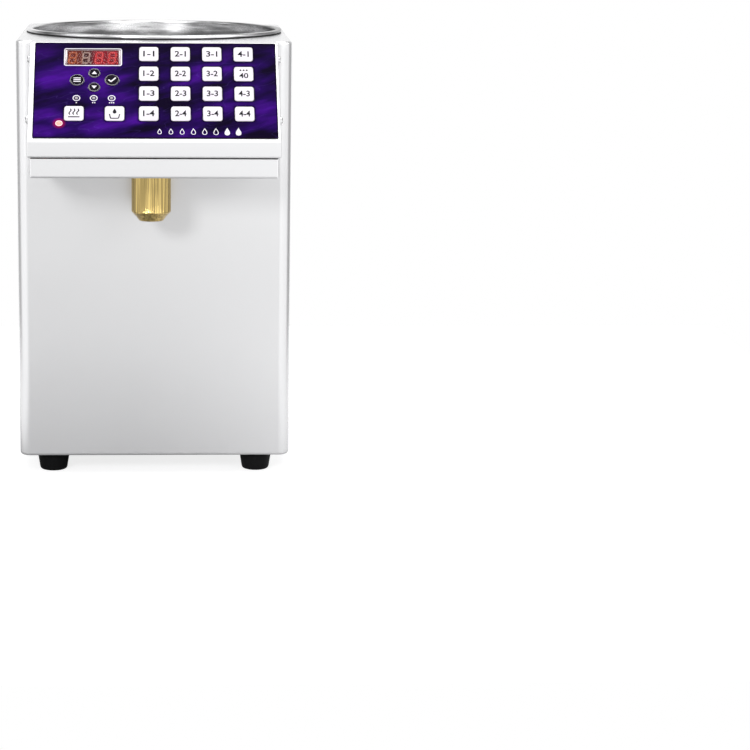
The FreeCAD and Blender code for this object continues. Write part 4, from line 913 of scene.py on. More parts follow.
@dataclass(frozen=True)
class PrintedFilm:
    """The keypad's satin film: deep violet with soft drifting bands and a painted shade round every key.

    Attributes:
        night: The darkest tone.
        violet: The middle tone.
        bright: The brightest tone.
        blocks: The blocks of square keys.
        painted_key_shade: Half the width and height at each key of the box that the painted shade round it
            fades from, in millimetres.
        painted_shade_and_border: The tone of the painted shade round the keys and of the film's border.
        thread: The tone of the fine lines that wind between the bands.
        warm: The tone of the painted glow round the lit power lamp.
    """

    night: Colour
    violet: Colour
    bright: Colour
    blocks: tuple[KeyBlock, ...]
    painted_key_shade: Pair = (7.7, 7.2)
    painted_shade_and_border: Colour = (0.004, 0.001, 0.009)
    thread: Colour = (0.14, 0.08, 0.45)
    warm: Colour = (0.45, 0.01, 0.06)

    def make(self, name: str) -> Material:
        """Builds the material: bands are stretched noise through a ramp, the painted shade round each key
        fades with the distance to the nearest key, and the border and the painted glow round the power lamp
        fade with theirs.

        Args:
            name: The material's name.

        Returns:
            The material.
        """
        bench = Bench.for_material(name)
        across, up = bench.slope_spots()
        along = bench.weighed((across, 0.010), (up, 0.006))
        over = bench.weighed((across, -0.012), (up, 0.034))
        flow = bench.vector(X=along, Y=over, Z=1.7)
        drift = bench.noise(flow, 1.6, 3.0, 0.45)
        colour = bench.ramp(drift, ((0.34, self.night), (0.50, self.violet), (0.70, self.bright)))
        ridge = bench.math("ABSOLUTE", bench.math("SUBTRACT", bench.noise(flow, 2.3, 2.0, 0.4), 0.5))
        colour = bench.mix(bench.span(ridge, 0.0, 0.010, 0.10, 0.0), colour, self.thread)
        colour = bench.mix(bench.span(up, -34.0, -2.0, 0.0, 0.75), colour, self.night)
        # Painted shade: each key gets a dark surround that fades out with the distance from it.
        for block in self.blocks:
            painted_key_shade = bench.span(block.distance(bench, across, up, self.painted_key_shade), 0.8, 4.6, 0.94, 0.0)
            colour = bench.mix(painted_key_shade, colour, self.painted_shade_and_border)
        low, high = SLOPE.node_box("panel_overlay")
        gaps = []
        for place, start, end in zip((across, up), low / MM, high / MM):
            offset = bench.math("SUBTRACT", place, (start + end) / 2)
            gaps.append(bench.past(offset, (end - start) / 2))
        border = bench.span(bench.math("MAXIMUM", *gaps), -2.2, -0.2, 0.0, 0.85)
        colour = bench.mix(border, colour, self.painted_shade_and_border)
        # Painted light: a red glow round the lit power lamp, painted into the film.
        legs = [bench.math("SUBTRACT", place, at) for place, at in zip((across, up), power_spot() / MM)]
        warm = bench.span(bench.length(*legs), 2.0, 7.5, 0.75, 0.0)
        colour = bench.mix(warm, colour, self.warm)
        skin = bench.noise(bench.spots(), 1500.0, 2.0)
        return bench.finish(
            base_color=colour, roughness=0.25, specular_ior_level=0.012, normal=bench.bump(skin, 0.2, 0.00001)
        )


@dataclass(frozen=True)
class Glow:
    """A lit surface whose colour changes across the display.

    Attributes:
        stops: Ramp stops over the display's width, as fraction and colour.
        width: The display's left and right edges, in slope millimetres.
        strength: The strength of the light.
    """

    stops: tuple[tuple[float, Colour], ...]
    width: Pair
    strength: float

    def make(self, name: str) -> Material:
        """Builds the material.

        Args:
            name: The material's name.

        Returns:
            The material.
        """
        bench = Bench.for_material(name)
        across, _ = bench.slope_spots()
        place = bench.span(across, *self.width, smooth=False)
        colour = bench.ramp(place, self.stops)
        return bench.finish(
            base_color=colour, roughness=0.5, emission_color=colour, emission_strength=self.strength,
            specular_ior_level=0.2,
        )


@dataclass(frozen=True)
class Lens:
    """A clear or tinted lens or pane.

    Attributes:
        tint: The colour that it passes.
        glow: The colour that it shines, if it is lit.
        strength: How strongly it shines.
        clear: The share of light that passes through.
        roughness: How much it blurs.
        ior: How much it bends light.
    """

    tint: Colour
    glow: Colour = (0.0, 0.0, 0.0)
    strength: float = 0.0
    clear: float = 0.9
    roughness: float = 0.1
    ior: float = 1.45

    def make(self, name: str) -> Material:
        """Builds the material, with a faint change of tint.

        Args:
            name: The material's name.

        Returns:
            The material.
        """
        bench = Bench.for_material(name)
        ripple = bench.noise(bench.spots(), 200.0, 1.0)
        tint = bench.mix(bench.span(ripple, 0.3, 0.7), self.tint, scaled(self.tint, 0.97))
        return bench.finish(
            base_color=tint, roughness=self.roughness, transmission_weight=self.clear, ior=self.ior,
            emission_color=self.glow, emission_strength=self.strength,
        )


class Wardrobe:
    """Every finish of the machine, by the record's slot or by the name of a new piece's finish.

    Attributes:
        BLOCKS: The blocks of square keys.
        DISPLAY: The display's left and right edges, in slope millimetres.
        FINISHES: How each finish is made.
        made: The materials made so far.
    """

    BLOCKS = (
        KeyBlock.between("key_1_4", "key_4_1", (4, 4)), KeyBlock.between("key_heat", "key_dispense", (2, 1)),
    )
    DISPLAY = tuple(corner[0] / MM for corner in SLOPE.node_box("display_module"))
    FINISHES = {
        "painted_panel": Satin((0.80, 0.80, 0.81), 0.26, 0.55),
        "galvanised": Metal((0.58, 0.60, 0.62), 0.42, Grain.CAST, change=0.12),
        "rubber": Moulded((0.004, 0.004, 0.0045), 0.55, pores=700.0, specular=0.12),
        "chrome_screw": Metal((0.80, 0.80, 0.81), 0.12, Grain.CAST, lines=0.000003),
        "overlay": PrintedFilm(
            night=(0.004, 0.001, 0.014), violet=(0.016, 0.002, 0.080), bright=(0.060, 0.005, 0.250),
            blocks=BLOCKS,
        ),
        "smoked_window": Lens((0.80, 0.70, 0.70), clear=1.0, roughness=0.0, ior=1.1),
        # Painted glow: the display's face is no lamp, yet it shines a dim red across its width.
        "display_black": Glow(
            (
                (0.0, (0.09, 0.015, 0.010)), (0.26, (0.10, 0.018, 0.012)), (0.32, (0.035, 0.015, 0.014)),
                (0.46, (0.05, 0.012, 0.016)), (0.54, (0.16, 0.004, 0.012)), (1.0, (0.12, 0.005, 0.012)),
            ), DISPLAY, 0.6,
        ),
        "board_green": Board(),
        "brass_post": Metal((0.75, 0.56, 0.24), 0.25, Grain.ROUND_AXIS),
        "switch_black": Moulded((0.02, 0.02, 0.02), 0.5),
        "lamp_red": Lens((0.85, 0.80, 0.82), clear=0.5),
        "polished_steel": SpunSteel((0.80, 0.80, 0.81), 0.22, 0.24),
        "gasket_black": Moulded((0.006, 0.006, 0.006), 0.7, specular=0.3),
        "heater": Moulded((0.40, 0.10, 0.03), 0.55),
        "steel_fitting": Metal((0.66, 0.66, 0.67), 0.25, Grain.ROUND_AXIS),
        "bakelite": Moulded((0.03, 0.02, 0.015), 0.4),
        "pump_steel": Metal((0.62, 0.62, 0.63), 0.32, Grain.CAST),
        "gear_steel": Metal((0.55, 0.55, 0.57), 0.28, Grain.CAST),
        "motor_black": Moulded((0.02, 0.02, 0.023), 0.35, coat=0.4),
        "supply_case": Metal((0.62, 0.62, 0.63), 0.38, Grain.CAST, change=0.08),
        "hose": Moulded((0.62, 0.58, 0.48), 0.35, glow=0.3),
        "brass_turned": Metal((0.76, 0.55, 0.20), 0.22, Grain.ROUND_AXIS),
        "valve_rubber": Moulded((0.42, 0.40, 0.35), 0.5, glow=0.2),
        "brass_knurled": Metal(
            (0.70, 0.52, 0.20), 0.14, Grain.KNURL, lines=0.00004, change=0.05, groove=0.50,
        ),
        "switch_black_case": Moulded((0.010, 0.010, 0.011), 0.28, pores=1500.0, depth=0.00001),
        "rocker_black": Moulded((0.012, 0.012, 0.013), 0.22, pores=1500.0, depth=0.00001, coat=0.3),
        "inlet_black": Moulded((0.011, 0.011, 0.012), 0.42, pores=1500.0, depth=0.00001),
        "pin_nickel": Metal((0.66, 0.65, 0.62), 0.2, Grain.CAST),
        "key_pale": Moulded((0.80, 0.75, 0.82), 0.30, pores=2200.0, depth=0.000006, coat=0.1),
        "key_dark": Moulded((0.003, 0.001, 0.006), 0.45, pores=2200.0, depth=0.000006, specular=0.05),
        "print_white": Moulded((0.86, 0.82, 0.90), 0.5, pores=3000.0, depth=0.000004),
        "print_dark": Moulded((0.008, 0.007, 0.009), 0.5, pores=3000.0, depth=0.000004, specular=0.1),
        "digit_light": Glow(
            (
                (0.0, (0.30, 0.085, 0.035)), (0.26, (0.28, 0.085, 0.035)), (0.30, (0.26, 0.21, 0.18)),
                (0.49, (0.25, 0.19, 0.165)), (0.54, (0.44, 0.042, 0.045)), (1.0, (0.42, 0.040, 0.042)),
            ), DISPLAY, 0.65,
        ),
        "lamp_lit": Lens((0.9, 0.30, 0.25), (1.0, 0.20, 0.14), 1.4, 0.2),
    }

    def __init__(self) -> None:
        """Starts with nothing made."""
        self.made: dict[str, Material] = {}

    def __getitem__(self, name: str) -> Material:
        """The finish of that name, made when it is first asked for."""
        if name not in self.made:
            self.made[name] = self.FINISHES[name].make(f"finish_{name}")
        return self.made[name]

    def dress_nodes(self) -> None:
        """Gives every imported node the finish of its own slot."""
        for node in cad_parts.values():
            for slot in node.material_slots:
                slot.material = self[slot.material.name]
        log.info("dressed %d packed nodes", len(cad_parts))


# ---------------------------------------------------------------- sub-assemblies

@dataclass(frozen=True)
class Tank:
    """The open syrup tank: spun wall, rolled rim and a shallow cone to its outlet.

    Attributes:
        wall: The sheet's thickness.
        bead: How far the rim's crest is rounded.
        flat: The radius of the flat round the outlet.
        outlet: The radius of the outlet's hole.
        cone: The height of the cone.
        shoulder: How far the rim stands out past the wall.
        roll: The rounding of the rim's outer edges, as a share of its height.
        count: Columns round the axis.
    """

    wall: float = 1.2 * MM
    bead: float = 2.1 * MM
    flat: float = 24.0 * MM
    outlet: float = 9.1 * MM
    cone: float = 17.2 * MM
    shoulder: float = 5.1 * MM
    roll: float = 0.48
    count: int = 256

    def build(self, wardrobe: Wardrobe) -> None:
        """Turns the tank's closed profile about its axis.

        Args:
            wardrobe: The finishes.
        """
        low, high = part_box("tank")
        rim = (high.x - low.x) / 2
        outer = rim - self.shoulder
        inner = outer - self.wall
        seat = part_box("tank_gasket")[1].z
        knee = low.z + self.cone
        corners = [
            (self.outlet, low.z + self.wall), (self.flat, low.z + self.wall), (inner, knee + self.wall / 2),
            (inner, high.z), (rim, high.z), (rim, seat), (outer, seat), (outer, knee), (self.flat, low.z),
            (self.outlet, low.z), (self.outlet, low.z + self.wall),
        ]
        roll = (high.z - seat) * self.roll
        inside = [3 * self.wall, 7 * self.wall, self.bead]
        outside = [roll, roll, 0.4 * self.wall, 7 * self.wall, self.wall]
        grid = turned(softened(corners, [0, *inside, *outside, 0, 0], 9), self.count)
        Skin().add_grid(grid).piece(
            "spun_tank", upright("tank"), wardrobe["polished_steel"], "polished_steel", MACHINE, ["tank"]
        )


@dataclass(frozen=True)
class Nozzle:
    """The brass nozzle cap: fine straight knurl, a cone to its foot and a bored mouth.

    Attributes:
        flutes: Grooves in the knurl.
        groove: A groove's depth.
        per_flute: Columns to each groove.
        cone_high: The cone's height.
        cone_in: How far the cone draws in.
        bend_in: The share of that at its bend.
        bend_up: The share of the cone's height at its bend.
        mouth: The radius of the bored mouth.
        thread: The radius of the thread's bore.
        thread_deep: That bore's depth under the crest.
        recess: The radius of the recess in the crest.
        recess_deep: The recess's depth.
        edge: The rounding of the outer edges.
        soft: The rounding of the mouth and the recess.
        lip: The height in which the grooves run out, and the size of the bevels at the foot.
        band: The height of the plain bands above and below the knurl.
    """

    flutes: int = 72
    groove: float = 0.26 * MM
    per_flute: int = 8
    cone_high: float = 8.5 * MM
    cone_in: float = 7.2 * MM
    bend_in: float = 0.55
    bend_up: float = 0.45
    mouth: float = 8.0 * MM
    thread: float = 13.0 * MM
    thread_deep: float = 26.0 * MM
    recess: float = 17.1 * MM
    recess_deep: float = 4.4 * MM
    edge: float = 0.6 * MM
    soft: float = 0.3 * MM
    lip: float = 0.5 * MM
    band: float = 1.3 * MM

    def build(self, wardrobe: Wardrobe) -> None:
        """Turns the cap's profile; the knurl takes groove * (1 - cos(flutes * angle)) / 2 off the radius
        between the cap's crest and its cone.

        Args:
            wardrobe: The finishes.
        """
        low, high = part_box("nozzle_cap")
        radius, crest, foot = (high.x - low.x) / 2, high.z, low.z
        knee, ledge = foot + self.cone_high, crest - self.thread_deep
        top, low_end = crest - self.band, knee + self.band
        bend, bend_up = radius - self.cone_in * self.bend_in, foot + self.cone_high * self.bend_up
        lip, bore = self.lip, crest - self.recess_deep
        corners = [
            (self.recess, bore), (self.recess, crest), (radius, crest), (radius, top), (radius, top - lip),
            (radius, low_end), (radius, low_end - lip), (radius, knee), (bend, bend_up + lip),
            (bend - lip, bend_up), (radius - self.cone_in, foot), (self.mouth + 2 * lip, foot),
            (self.mouth, foot + 2 * lip), (self.mouth, ledge), (self.thread, ledge), (self.thread, bore),
            (self.recess, bore),
        ]
        bevel = 0.2 * MM
        trims = [0, self.soft, self.edge, 0, 0, 0, 0, self.edge, bevel, bevel, self.edge, self.soft]
        trims += [self.soft, 0, 0, 0, 0]
        profile = softened(corners, trims, 5)

        def knurl(rows: Grid, angles: Grid) -> Grid:
            """The knurl.

            Args:
                rows: The profile's rows.
                angles: The angles round the axis.

            Returns:
                What it takes off the radius, by row and angle, as a number below zero.
            """
            inside = (rows[:, 1] < top - lip / 2) & (rows[:, 1] > low_end - lip / 2)
            on_wall = inside & (rows[:, 0] > radius - self.edge / 2)
            return -self.groove * on_wall[:, None] * (1 - np.cos(self.flutes * angles)) / 2

        grid = turned(profile, self.flutes * self.per_flute, knurl)
        Skin().add_grid(grid).piece(
            "knurled_nozzle", upright("nozzle_cap"), wardrobe["brass_knurled"], "brass_knurled",
            "nozzle_collar", ["nozzle_cap"], 28.0,
        )


@dataclass(frozen=True)
class Feet:
    """Four moulded rubber feet, each tapering to a rounded toe and hollowed for its screw.

    Attributes:
        top: A foot's radius at its top.
        base: Its radius at the floor.
        collar: How much narrower the foot of its collar is than its top.
        collar_deep: The collar's height.
        toe: The rounding of its toe.
        hollow: The hollow's radius.
        hollow_deep: The hollow's depth.
        bore: The radius of the screw's hole.
        count: Columns round each foot.
    """

    top: float = 16.6 * MM
    base: float = 13.4 * MM
    collar: float = 0.4 * MM
    collar_deep: float = 2.5 * MM
    toe: float = 3.0 * MM
    hollow: float = 6.0 * MM
    hollow_deep: float = 7.0 * MM
    bore: float = 2.2 * MM
    count: int = 72

    def build(self, wardrobe: Wardrobe) -> None:
        """Turns one profile and repeats it at the four corners.

        Args:
            wardrobe: The finishes.
        """
        low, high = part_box("rubber_feet")
        corners = [
            (self.bore, high.z), (self.top, high.z), (self.top - self.collar, high.z - self.collar_deep),
            (self.base, low.z), (self.hollow, low.z), (self.hollow, self.hollow_deep),
            (self.bore, self.hollow_deep), (self.bore, high.z),
        ]
        trims = [0, 0.5 * MM, 1 * MM, self.toe, 0.8 * MM, 0.5 * MM, 0.3 * MM, 0]
        grid = turned(softened(corners, trims, 7), self.count)
        skin = Skin()
        for x in (low.x + self.top, high.x - self.top):
            for y in (low.y + self.top, high.y - self.top):
                skin.add_grid(grid + np.array([x, y, 0.0]))
        skin.piece(
            "moulded_feet", lambda points: points, wardrobe["rubber"], "rubber", MACHINE, ["rubber_feet"]
        )


class Sign(Enum):
    """What a key carries."""

    NUMERALS = "numerals"
    UP = "up"
    DOWN = "down"
    LIST = "list"
    TICK = "tick"
    WARMTH = "warmth"
    POUR = "pour"


def drop_outline(size: float, count: int = 28) -> Grid:
    """A drop with its point up: a circle whose x shrinks by sin(t / 2) towards the point.

    Args:
        size: The drop's height.
        count: Points round it.

    Returns:
        The outline, counter-clockwise.
    """
    t = np.linspace(0.0, 2 * math.pi, count, endpoint=False)
    x = -np.sin(t) * np.sin(t / 2) ** 1.5 * 0.40
    return size * np.stack([x, np.cos(t) * 0.5], -1)


@dataclass(frozen=True)
class Key:
    """One key: a pillow on a stem, with its print.

    Attributes:
        node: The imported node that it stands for.
        sign: What is printed on it.
        words: The numerals, if it carries them.
        edge: The roll of its edge.
        pillow_dome: How much a square key's middle stands over its edge.
        button_dome: The same for a round key.
        ink: The print's thickness.
        thin: The width of a round key's ring.
        line: The width of the list's lines.
        thick: The width of the tick and of the bar under the warmth sign.
        stem: The stem's radius.
        sunk: How far the stem reaches into the key.
        cap: How far the key's side reaches below its highest point.
        corner: A square key's corner radius.
    """

    node: str
    sign: Sign
    words: str = ""
    edge: float = 0.55 * MM
    pillow_dome: float = 0.22 * MM
    button_dome: float = 0.03 * MM
    ink: float = 0.04 * MM
    thin: float = 0.7 * MM
    line: float = 1.0 * MM
    thick: float = 1.3 * MM
    stem: float = 2.4 * MM
    sunk: float = 0.05 * MM
    cap: float = 0.98 * MM
    corner: float = 2.5 * MM

    @property
    def is_round(self) -> bool:
        """Whether the key is one of the small dark round ones."""
        return self.sign in (Sign.UP, Sign.DOWN, Sign.LIST, Sign.TICK)

    @property
    def dome(self) -> float:
        """How much its middle stands over its edge."""
        return self.button_dome if self.is_round else self.pillow_dome

    @property
    def skirt(self) -> float:
        """How far its side reaches below the foot of its dome."""
        return self.cap - self.dome

    def build(self, wardrobe: Wardrobe) -> None:
        """Makes the pillow, its stem and its print.

        Args:
            wardrobe: The finishes.
        """
        low, high = SLOPE.node_box(self.node)
        half = (high[:2] - low[:2]) / 2
        place = SLOPE.at((high[:2] + low[:2]) / 2)
        top = high[2] - self.dome
        radius = half[0] if self.is_round else self.corner
        finish = "key_dark" if self.is_round else "key_pale"
        body = f"{self.node}_cap"
        ends = (low[2], top - self.skirt + self.sunk)
        stem = turned(np.array([[self.stem, end] for end in ends]), 24)
        Skin().add_grid(self.pillow(half, radius, top), capped=True).add_grid(stem, capped=True).piece(
            f"pillow_{self.node}", place, wardrobe[finish], "key_pale", body, [self.node], 50.0
        )
        print_finish = "print_white" if self.is_round else "print_dark"

        def on_dome(flat: Grid) -> Grid:
            """The pillow's height under the print: the dome, then the roll of its edge.

            Args:
                flat: The print's points, across and up.

            Returns:
                Their heights.
            """
            spread = np.abs(flat) / (half - self.edge)
            reach = np.hypot(*spread.T) if self.is_round else spread.max(1)
            over = np.clip((reach - 1) * (half[0] - self.edge), 0.0, self.edge)
            rolled = self.edge - np.sqrt(self.edge ** 2 - over ** 2)
            return top + self.dome * (1 - np.minimum(reach, 1.0) ** 2) - rolled

        self.print(half).lifted(on_dome).piece(
            f"print_{self.node}", place, wardrobe[print_finish], "key_pale", body
        )

    def pillow(self, half: Grid, radius: float, top: float) -> Grid:
        """The pillow's surface, ring by ring.

        The skirt is upright; the edge rolls over by a quarter circle, (inset, height) = edge * (1 - cos t,
        sin t); then the outline shrinks by s from 1 to 0 and rises by dome * (1 - s^2).

        Args:
            half: Half its width and height.
            radius: Its corner radius.
            top: Its height where the dome starts.

        Returns:
            The grid of rings.
        """
        centres, directions = rounded_outline(*half, radius, 12 if self.is_round else 7)
        t = np.linspace(0.0, math.pi / 2, 6)
        insets = np.concatenate([[0.0], self.edge * (1 - np.cos(t))])
        heights = np.concatenate([[top - self.skirt], top - self.edge + self.edge * np.sin(t)])
        rolled = centres + (radius - insets)[:, None, None] * directions
        shrink = np.linspace(1.0, 0.02, 9)[1:]
        dome = rolled[-1] * shrink[:, None, None]
        flat = np.concatenate([rolled, dome])
        levels = np.concatenate([heights, top + self.dome * (1 - shrink ** 2)])
        return np.concatenate([flat, np.broadcast_to(levels[:, None, None], (*flat.shape[:2], 1))], -1)

    def print(self, half: Grid) -> Skin:
        """The key's print, flat and about its own centre.

        Args:
            half: Half the key's width and height.

        Returns:
            The print.
        """
        skin, ink = Skin(), self.ink
        if self.is_round:
            skin.add_ring(half[0] - self.edge * 0.85, ORIGIN, self.thin, 0, ink)
        if self.sign is Sign.NUMERALS and len(self.words) == 2:
            skin.add_words(self.words, (8.8 * MM, 6.4 * MM), (0.0, -2.4 * MM), ink)
            for x in (-3.0, 0.0, 3.0):
                skin.add_plate(circle(1.0 * MM, 20) + np.array([x, 4.2]) * MM, 0, ink)
        elif self.sign is Sign.NUMERALS:
            skin.add_words(self.words, (10.8 * MM, 7.2 * MM), (0.0, 0.0), ink)
        elif self.sign in (Sign.UP, Sign.DOWN):
            flip = 1 if self.sign is Sign.UP else -1
            arrow = np.array([[-2.5, -1.5 * flip], [2.5, -1.5 * flip], [0.0, 2.2 * flip]][::flip]) * MM
            skin.add_plate(arrow, 0, ink)
        elif self.sign is Sign.LIST:
            for y in (-2.1, 0.0, 2.1):
                skin.add_stroke(level_line(3.4, y), self.line, 0, ink)
        elif self.sign is Sign.TICK:
            corner = softened([(-3.4, 0.2), (-1.0, -2.2), (3.5, 2.6)], [0, 0.3, 0]) * MM
            skin.add_stroke(corner, self.thick, 0, ink)
        elif self.sign is Sign.WARMTH:
            rise = np.linspace(-1.0, 1.0, 17)
            for x in (-3.6, 0.0, 3.6):
                wave = np.stack([x + 0.9 * np.sin(rise * math.pi), 1.6 + 3.6 * rise], -1)
                skin.add_stroke(wave * MM, 1.2 * MM, 0, ink)
            skin.add_stroke(level_line(5.4, -4.6), self.thick, 0, ink)
        else:
            skin.add_plate(drop_outline(6.4 * MM) + np.array([0.0, 2.6]) * MM, 0, ink)
            cup = softened([(-4.8, -1.0), (-3.8, -6.2), (3.8, -6.2), (4.8, -1.0)], [0, 0.9, 0.9, 0]) * MM
            skin.add_stroke(cup, 1.1 * MM, 0, ink)
        return skin


@dataclass(frozen=True)
class Keypad:
    """All the keys, and the white print on the film around them.

    Attributes:
        ink: The film print's thickness.
        line: The width of the frame round the display's window.
        ring_line: The width of a status lamp's ring.
        thin: The width of the power lamp's ring and of an empty drop's line.
        frame_gap: How far that frame's middle stands off the window.
        frame_corner: The frame's corner radius.
        ring: The radius of a status lamp's ring.
        dot: The radius of the dots that number it.
        dot_step: The step from dot to dot, in millimetres.
        dots_down: How far the dots lie under the lamp, in millimetres.
        status: Where the status lamps lie, across and up, in millimetres.
        scale: The portion scale's first drop, its step and how many there are.
        scale_up: The scale's place up the slope, in millimetres.
        drop: The first drop's height and how much each next one grows, in millimetres.
        full: How many drops at the scale's end are filled.
        inset: How much smaller an empty drop's line is drawn.
    """

    ink: float = 0.05 * MM
    line: float = 0.9 * MM
    ring_line: float = 0.8 * MM
    thin: float = 0.7 * MM
    frame_gap: float = 0.8 * MM
    frame_corner: float = 1.8 * MM
    ring: float = 3.2 * MM
    dot: float = 0.65 * MM
    dot_step: float = 1.9
    dots_down: float = 5.6
    status: tuple[Pair, ...] = ((-73.6, -70.4), (-57.2, -70.4), (-40.3, -70.4))
    scale: tuple[float, float, int] = (5.0, 10.6, 8)
    scale_up: float = -110.6
    drop: Pair = (7.0, 0.35)
    full: int = 2
    inset: float = 0.86

    def keys(self) -> list[Key]:
        """Every key with its sign.

        Returns:
            The keys.
        """
        listed = []
        for column in range(1, 5):
            for row in range(1, 5):
                words = "40" if (column, row) == (4, 2) else f"{column}-{row}"
                listed.append(Key(f"key_{column}_{row}", Sign.NUMERALS, words))
        signs = {
            "key_up": Sign.UP, "key_down": Sign.DOWN, "key_set": Sign.LIST, "key_confirm": Sign.TICK,
            "key_heat": Sign.WARMTH, "key_dispense": Sign.POUR,
        }
        return listed + [Key(node, sign) for node, sign in signs.items()]

    def build(self, wardrobe: Wardrobe) -> None:
        """Makes the keys and the film's print.

        Args:
            wardrobe: The finishes.
        """
        for key in self.keys():
            key.build(wardrobe)
        face = SLOPE.node_box("panel_overlay")[1][2]
        ink = (face, face + self.ink)
        skin = Skin()
        low, high = SLOPE.node_box("display_window")
        half, middle = (high[:2] - low[:2]) / 2 + self.frame_gap, (high[:2] + low[:2]) / 2
        centres, directions = rounded_outline(*half, self.frame_corner)
        skin.add_stroke(centres + self.frame_corner * directions + middle, self.line, *ink, closed=True)
        skin.add_ring(POWER_RADIUS + 0.5 * MM, power_spot(), self.thin, *ink)
        for number, (across, up) in enumerate(self.status, 1):
            middle = np.array([across, up]) * MM
            skin.add_ring(self.ring, middle, self.ring_line, *ink)
            for turn in range(number):
                x = (turn - (number - 1) / 2) * self.dot_step
                skin.add_plate(circle(self.dot, 16) + middle + np.array([x, -self.dots_down]) * MM, *ink)
        first, step, count = self.scale
        for number in range(count):
            size = (self.drop[0] + self.drop[1] * number) * MM
            middle = np.array([first + step * number, self.scale_up]) * MM
            outline = drop_outline(size, 36)
            if number < count - self.full:
                skin.add_stroke(outline * self.inset + middle, self.thin, *ink, closed=True)
            else:
                skin.add_plate(outline + middle, *ink)
        skin.piece("film_print", SLOPE.to_world, wardrobe["print_white"], "overlay", MACHINE)


class Segment(Enum):
    """The bars of a digit: centre across and up, in half digit heights, and whether it lies flat."""

    TOP = (0.0, 1.0, True)
    MIDDLE = (0.0, 0.0, True)
    BOTTOM = (0.0, -1.0, True)
    UPPER_LEFT = (-1.0, 0.5, False)
    UPPER_RIGHT = (1.0, 0.5, False)
    LOWER_LEFT = (-1.0, -0.5, False)
    LOWER_RIGHT = (1.0, -0.5, False)


@dataclass(frozen=True)
class Display:
    """The digit display: four leaning digits of seven bars, each with its point.

    Attributes:
        digit: Half a digit's width and height, between its bars' middles.
        bar: A bar's thickness.
        pitch: The step from digit to digit.
        lean: How far the digits lean, in degrees.
        count: How many digits.
        point: The radius of a digit's point.
        gap: How far a bar stops short of its neighbours' middles.
        left: How far the digits and their points stand left of their places.
        rise: How far the bars stand out from the display's face.
    """

    digit: Pair = (3.15 * MM, 6.4 * MM)
    bar: float = 1.7 * MM
    pitch: float = 12.6 * MM
    lean: float = 7.0
    count: int = 4
    point: float = 0.8 * MM
    gap: float = 0.18 * MM
    left: float = 0.6 * MM
    rise: float = 0.1 * MM

    def build(self, wardrobe: Wardrobe) -> None:
        """Makes the lit bars and points.

        Args:
            wardrobe: The finishes.
        """
        low, high = SLOPE.node_box("display_module")
        middle = (low + high) / 2
        face = (high[2], high[2] + self.rise)
        skin = Skin()
        point = circle(self.point, 20) + np.array([self.pitch / 2 - self.left, -self.digit[1]])
        for number in range(self.count):
            shift = np.array([(number - (self.count - 1) / 2) * self.pitch - self.left, 0.0])
            for outline in (*map(self.bar_outline, Segment), point):
                skin.add_plate(self.leaning(outline) + shift + middle[:2], *face)
        skin.piece("lit_digits", SLOPE.to_world, wardrobe["digit_light"], "lamp_red", MACHINE)

    def bar_outline(self, segment: Segment) -> Grid:
        """One bar: a strip with pointed ends.

        Args:
            segment: Which bar.

        Returns:
            Its outline, counter-clockwise.
        """
        across, up, flat = segment.value
        reach = self.digit[0] if flat else self.digit[1] / 2
        half, long = self.bar / 2, reach - self.gap
        strip = np.array([
            [-long, 0], [-long + half, -half], [long - half, -half], [long, 0], [long - half, half],
            [-long + half, half],
        ])
        if not flat:
            strip = strip @ np.array([[0.0, 1.0], [-1.0, 0.0]])
        return strip + np.array([across * self.digit[0], up * self.digit[1]])

    def leaning(self, outline: Grid) -> Grid:
        """Leans an outline: x + y * tan(lean)."""
        return outline + np.outer(outline[:, 1], [math.tan(math.radians(self.lean)), 0.0])


@dataclass(frozen=True)
class Lamps:
    """The lamps: three clear status lenses and the lit power lens.

    Attributes:
        status_radius: The radius of a status lens.
        crown: The height of a lens's rounded end, as a share of its radius.
    """

    status_radius: float = 1.5 * MM
    crown: float = 0.4

    def build(self, wardrobe: Wardrobe) -> None:
        """Turns each lens: a rod with a rounded end, r = radius * cos t, z rising by crown * radius * sin t.

        Args:
            wardrobe: The finishes.
        """
        low, high = SLOPE.node_box("indicator_lamps")
        status = Skin()
        for across, up in Keypad().status:
            status.add_grid(self.lens(self.status_radius, low[2], high[2]) + np.array([across, up, 0.0]) * MM)
        status.piece(
            "status_lenses", SLOPE.to_world, wardrobe["lamp_red"], "lamp_red", MACHINE, ["indicator_lamps"]
        )
        lit = self.lens(POWER_RADIUS, low[2], high[2]) + np.array([*power_spot(), 0.0])
        Skin().add_grid(lit).piece(
            "power_lens", SLOPE.to_world, wardrobe["lamp_lit"], "lamp_red", MACHINE, ["indicator_lamps"]
        )

    def lens(self, radius: float, low: float, high: float) -> Grid:
        """One lens about the origin.

        Args:
            radius: Its radius.
            low: The height of its seat on the board.
            high: The height of its rounded end.

        Returns:
            The grid of its rings.
        """
        t = np.linspace(0.0, math.pi / 2, 9)
        crown = np.stack([radius * np.cos(t), high - radius * self.crown * (1 - np.sin(t))], -1)
        profile = np.concatenate([[[0.0, low], [radius, low]], crown])
        return turned(profile, 40)


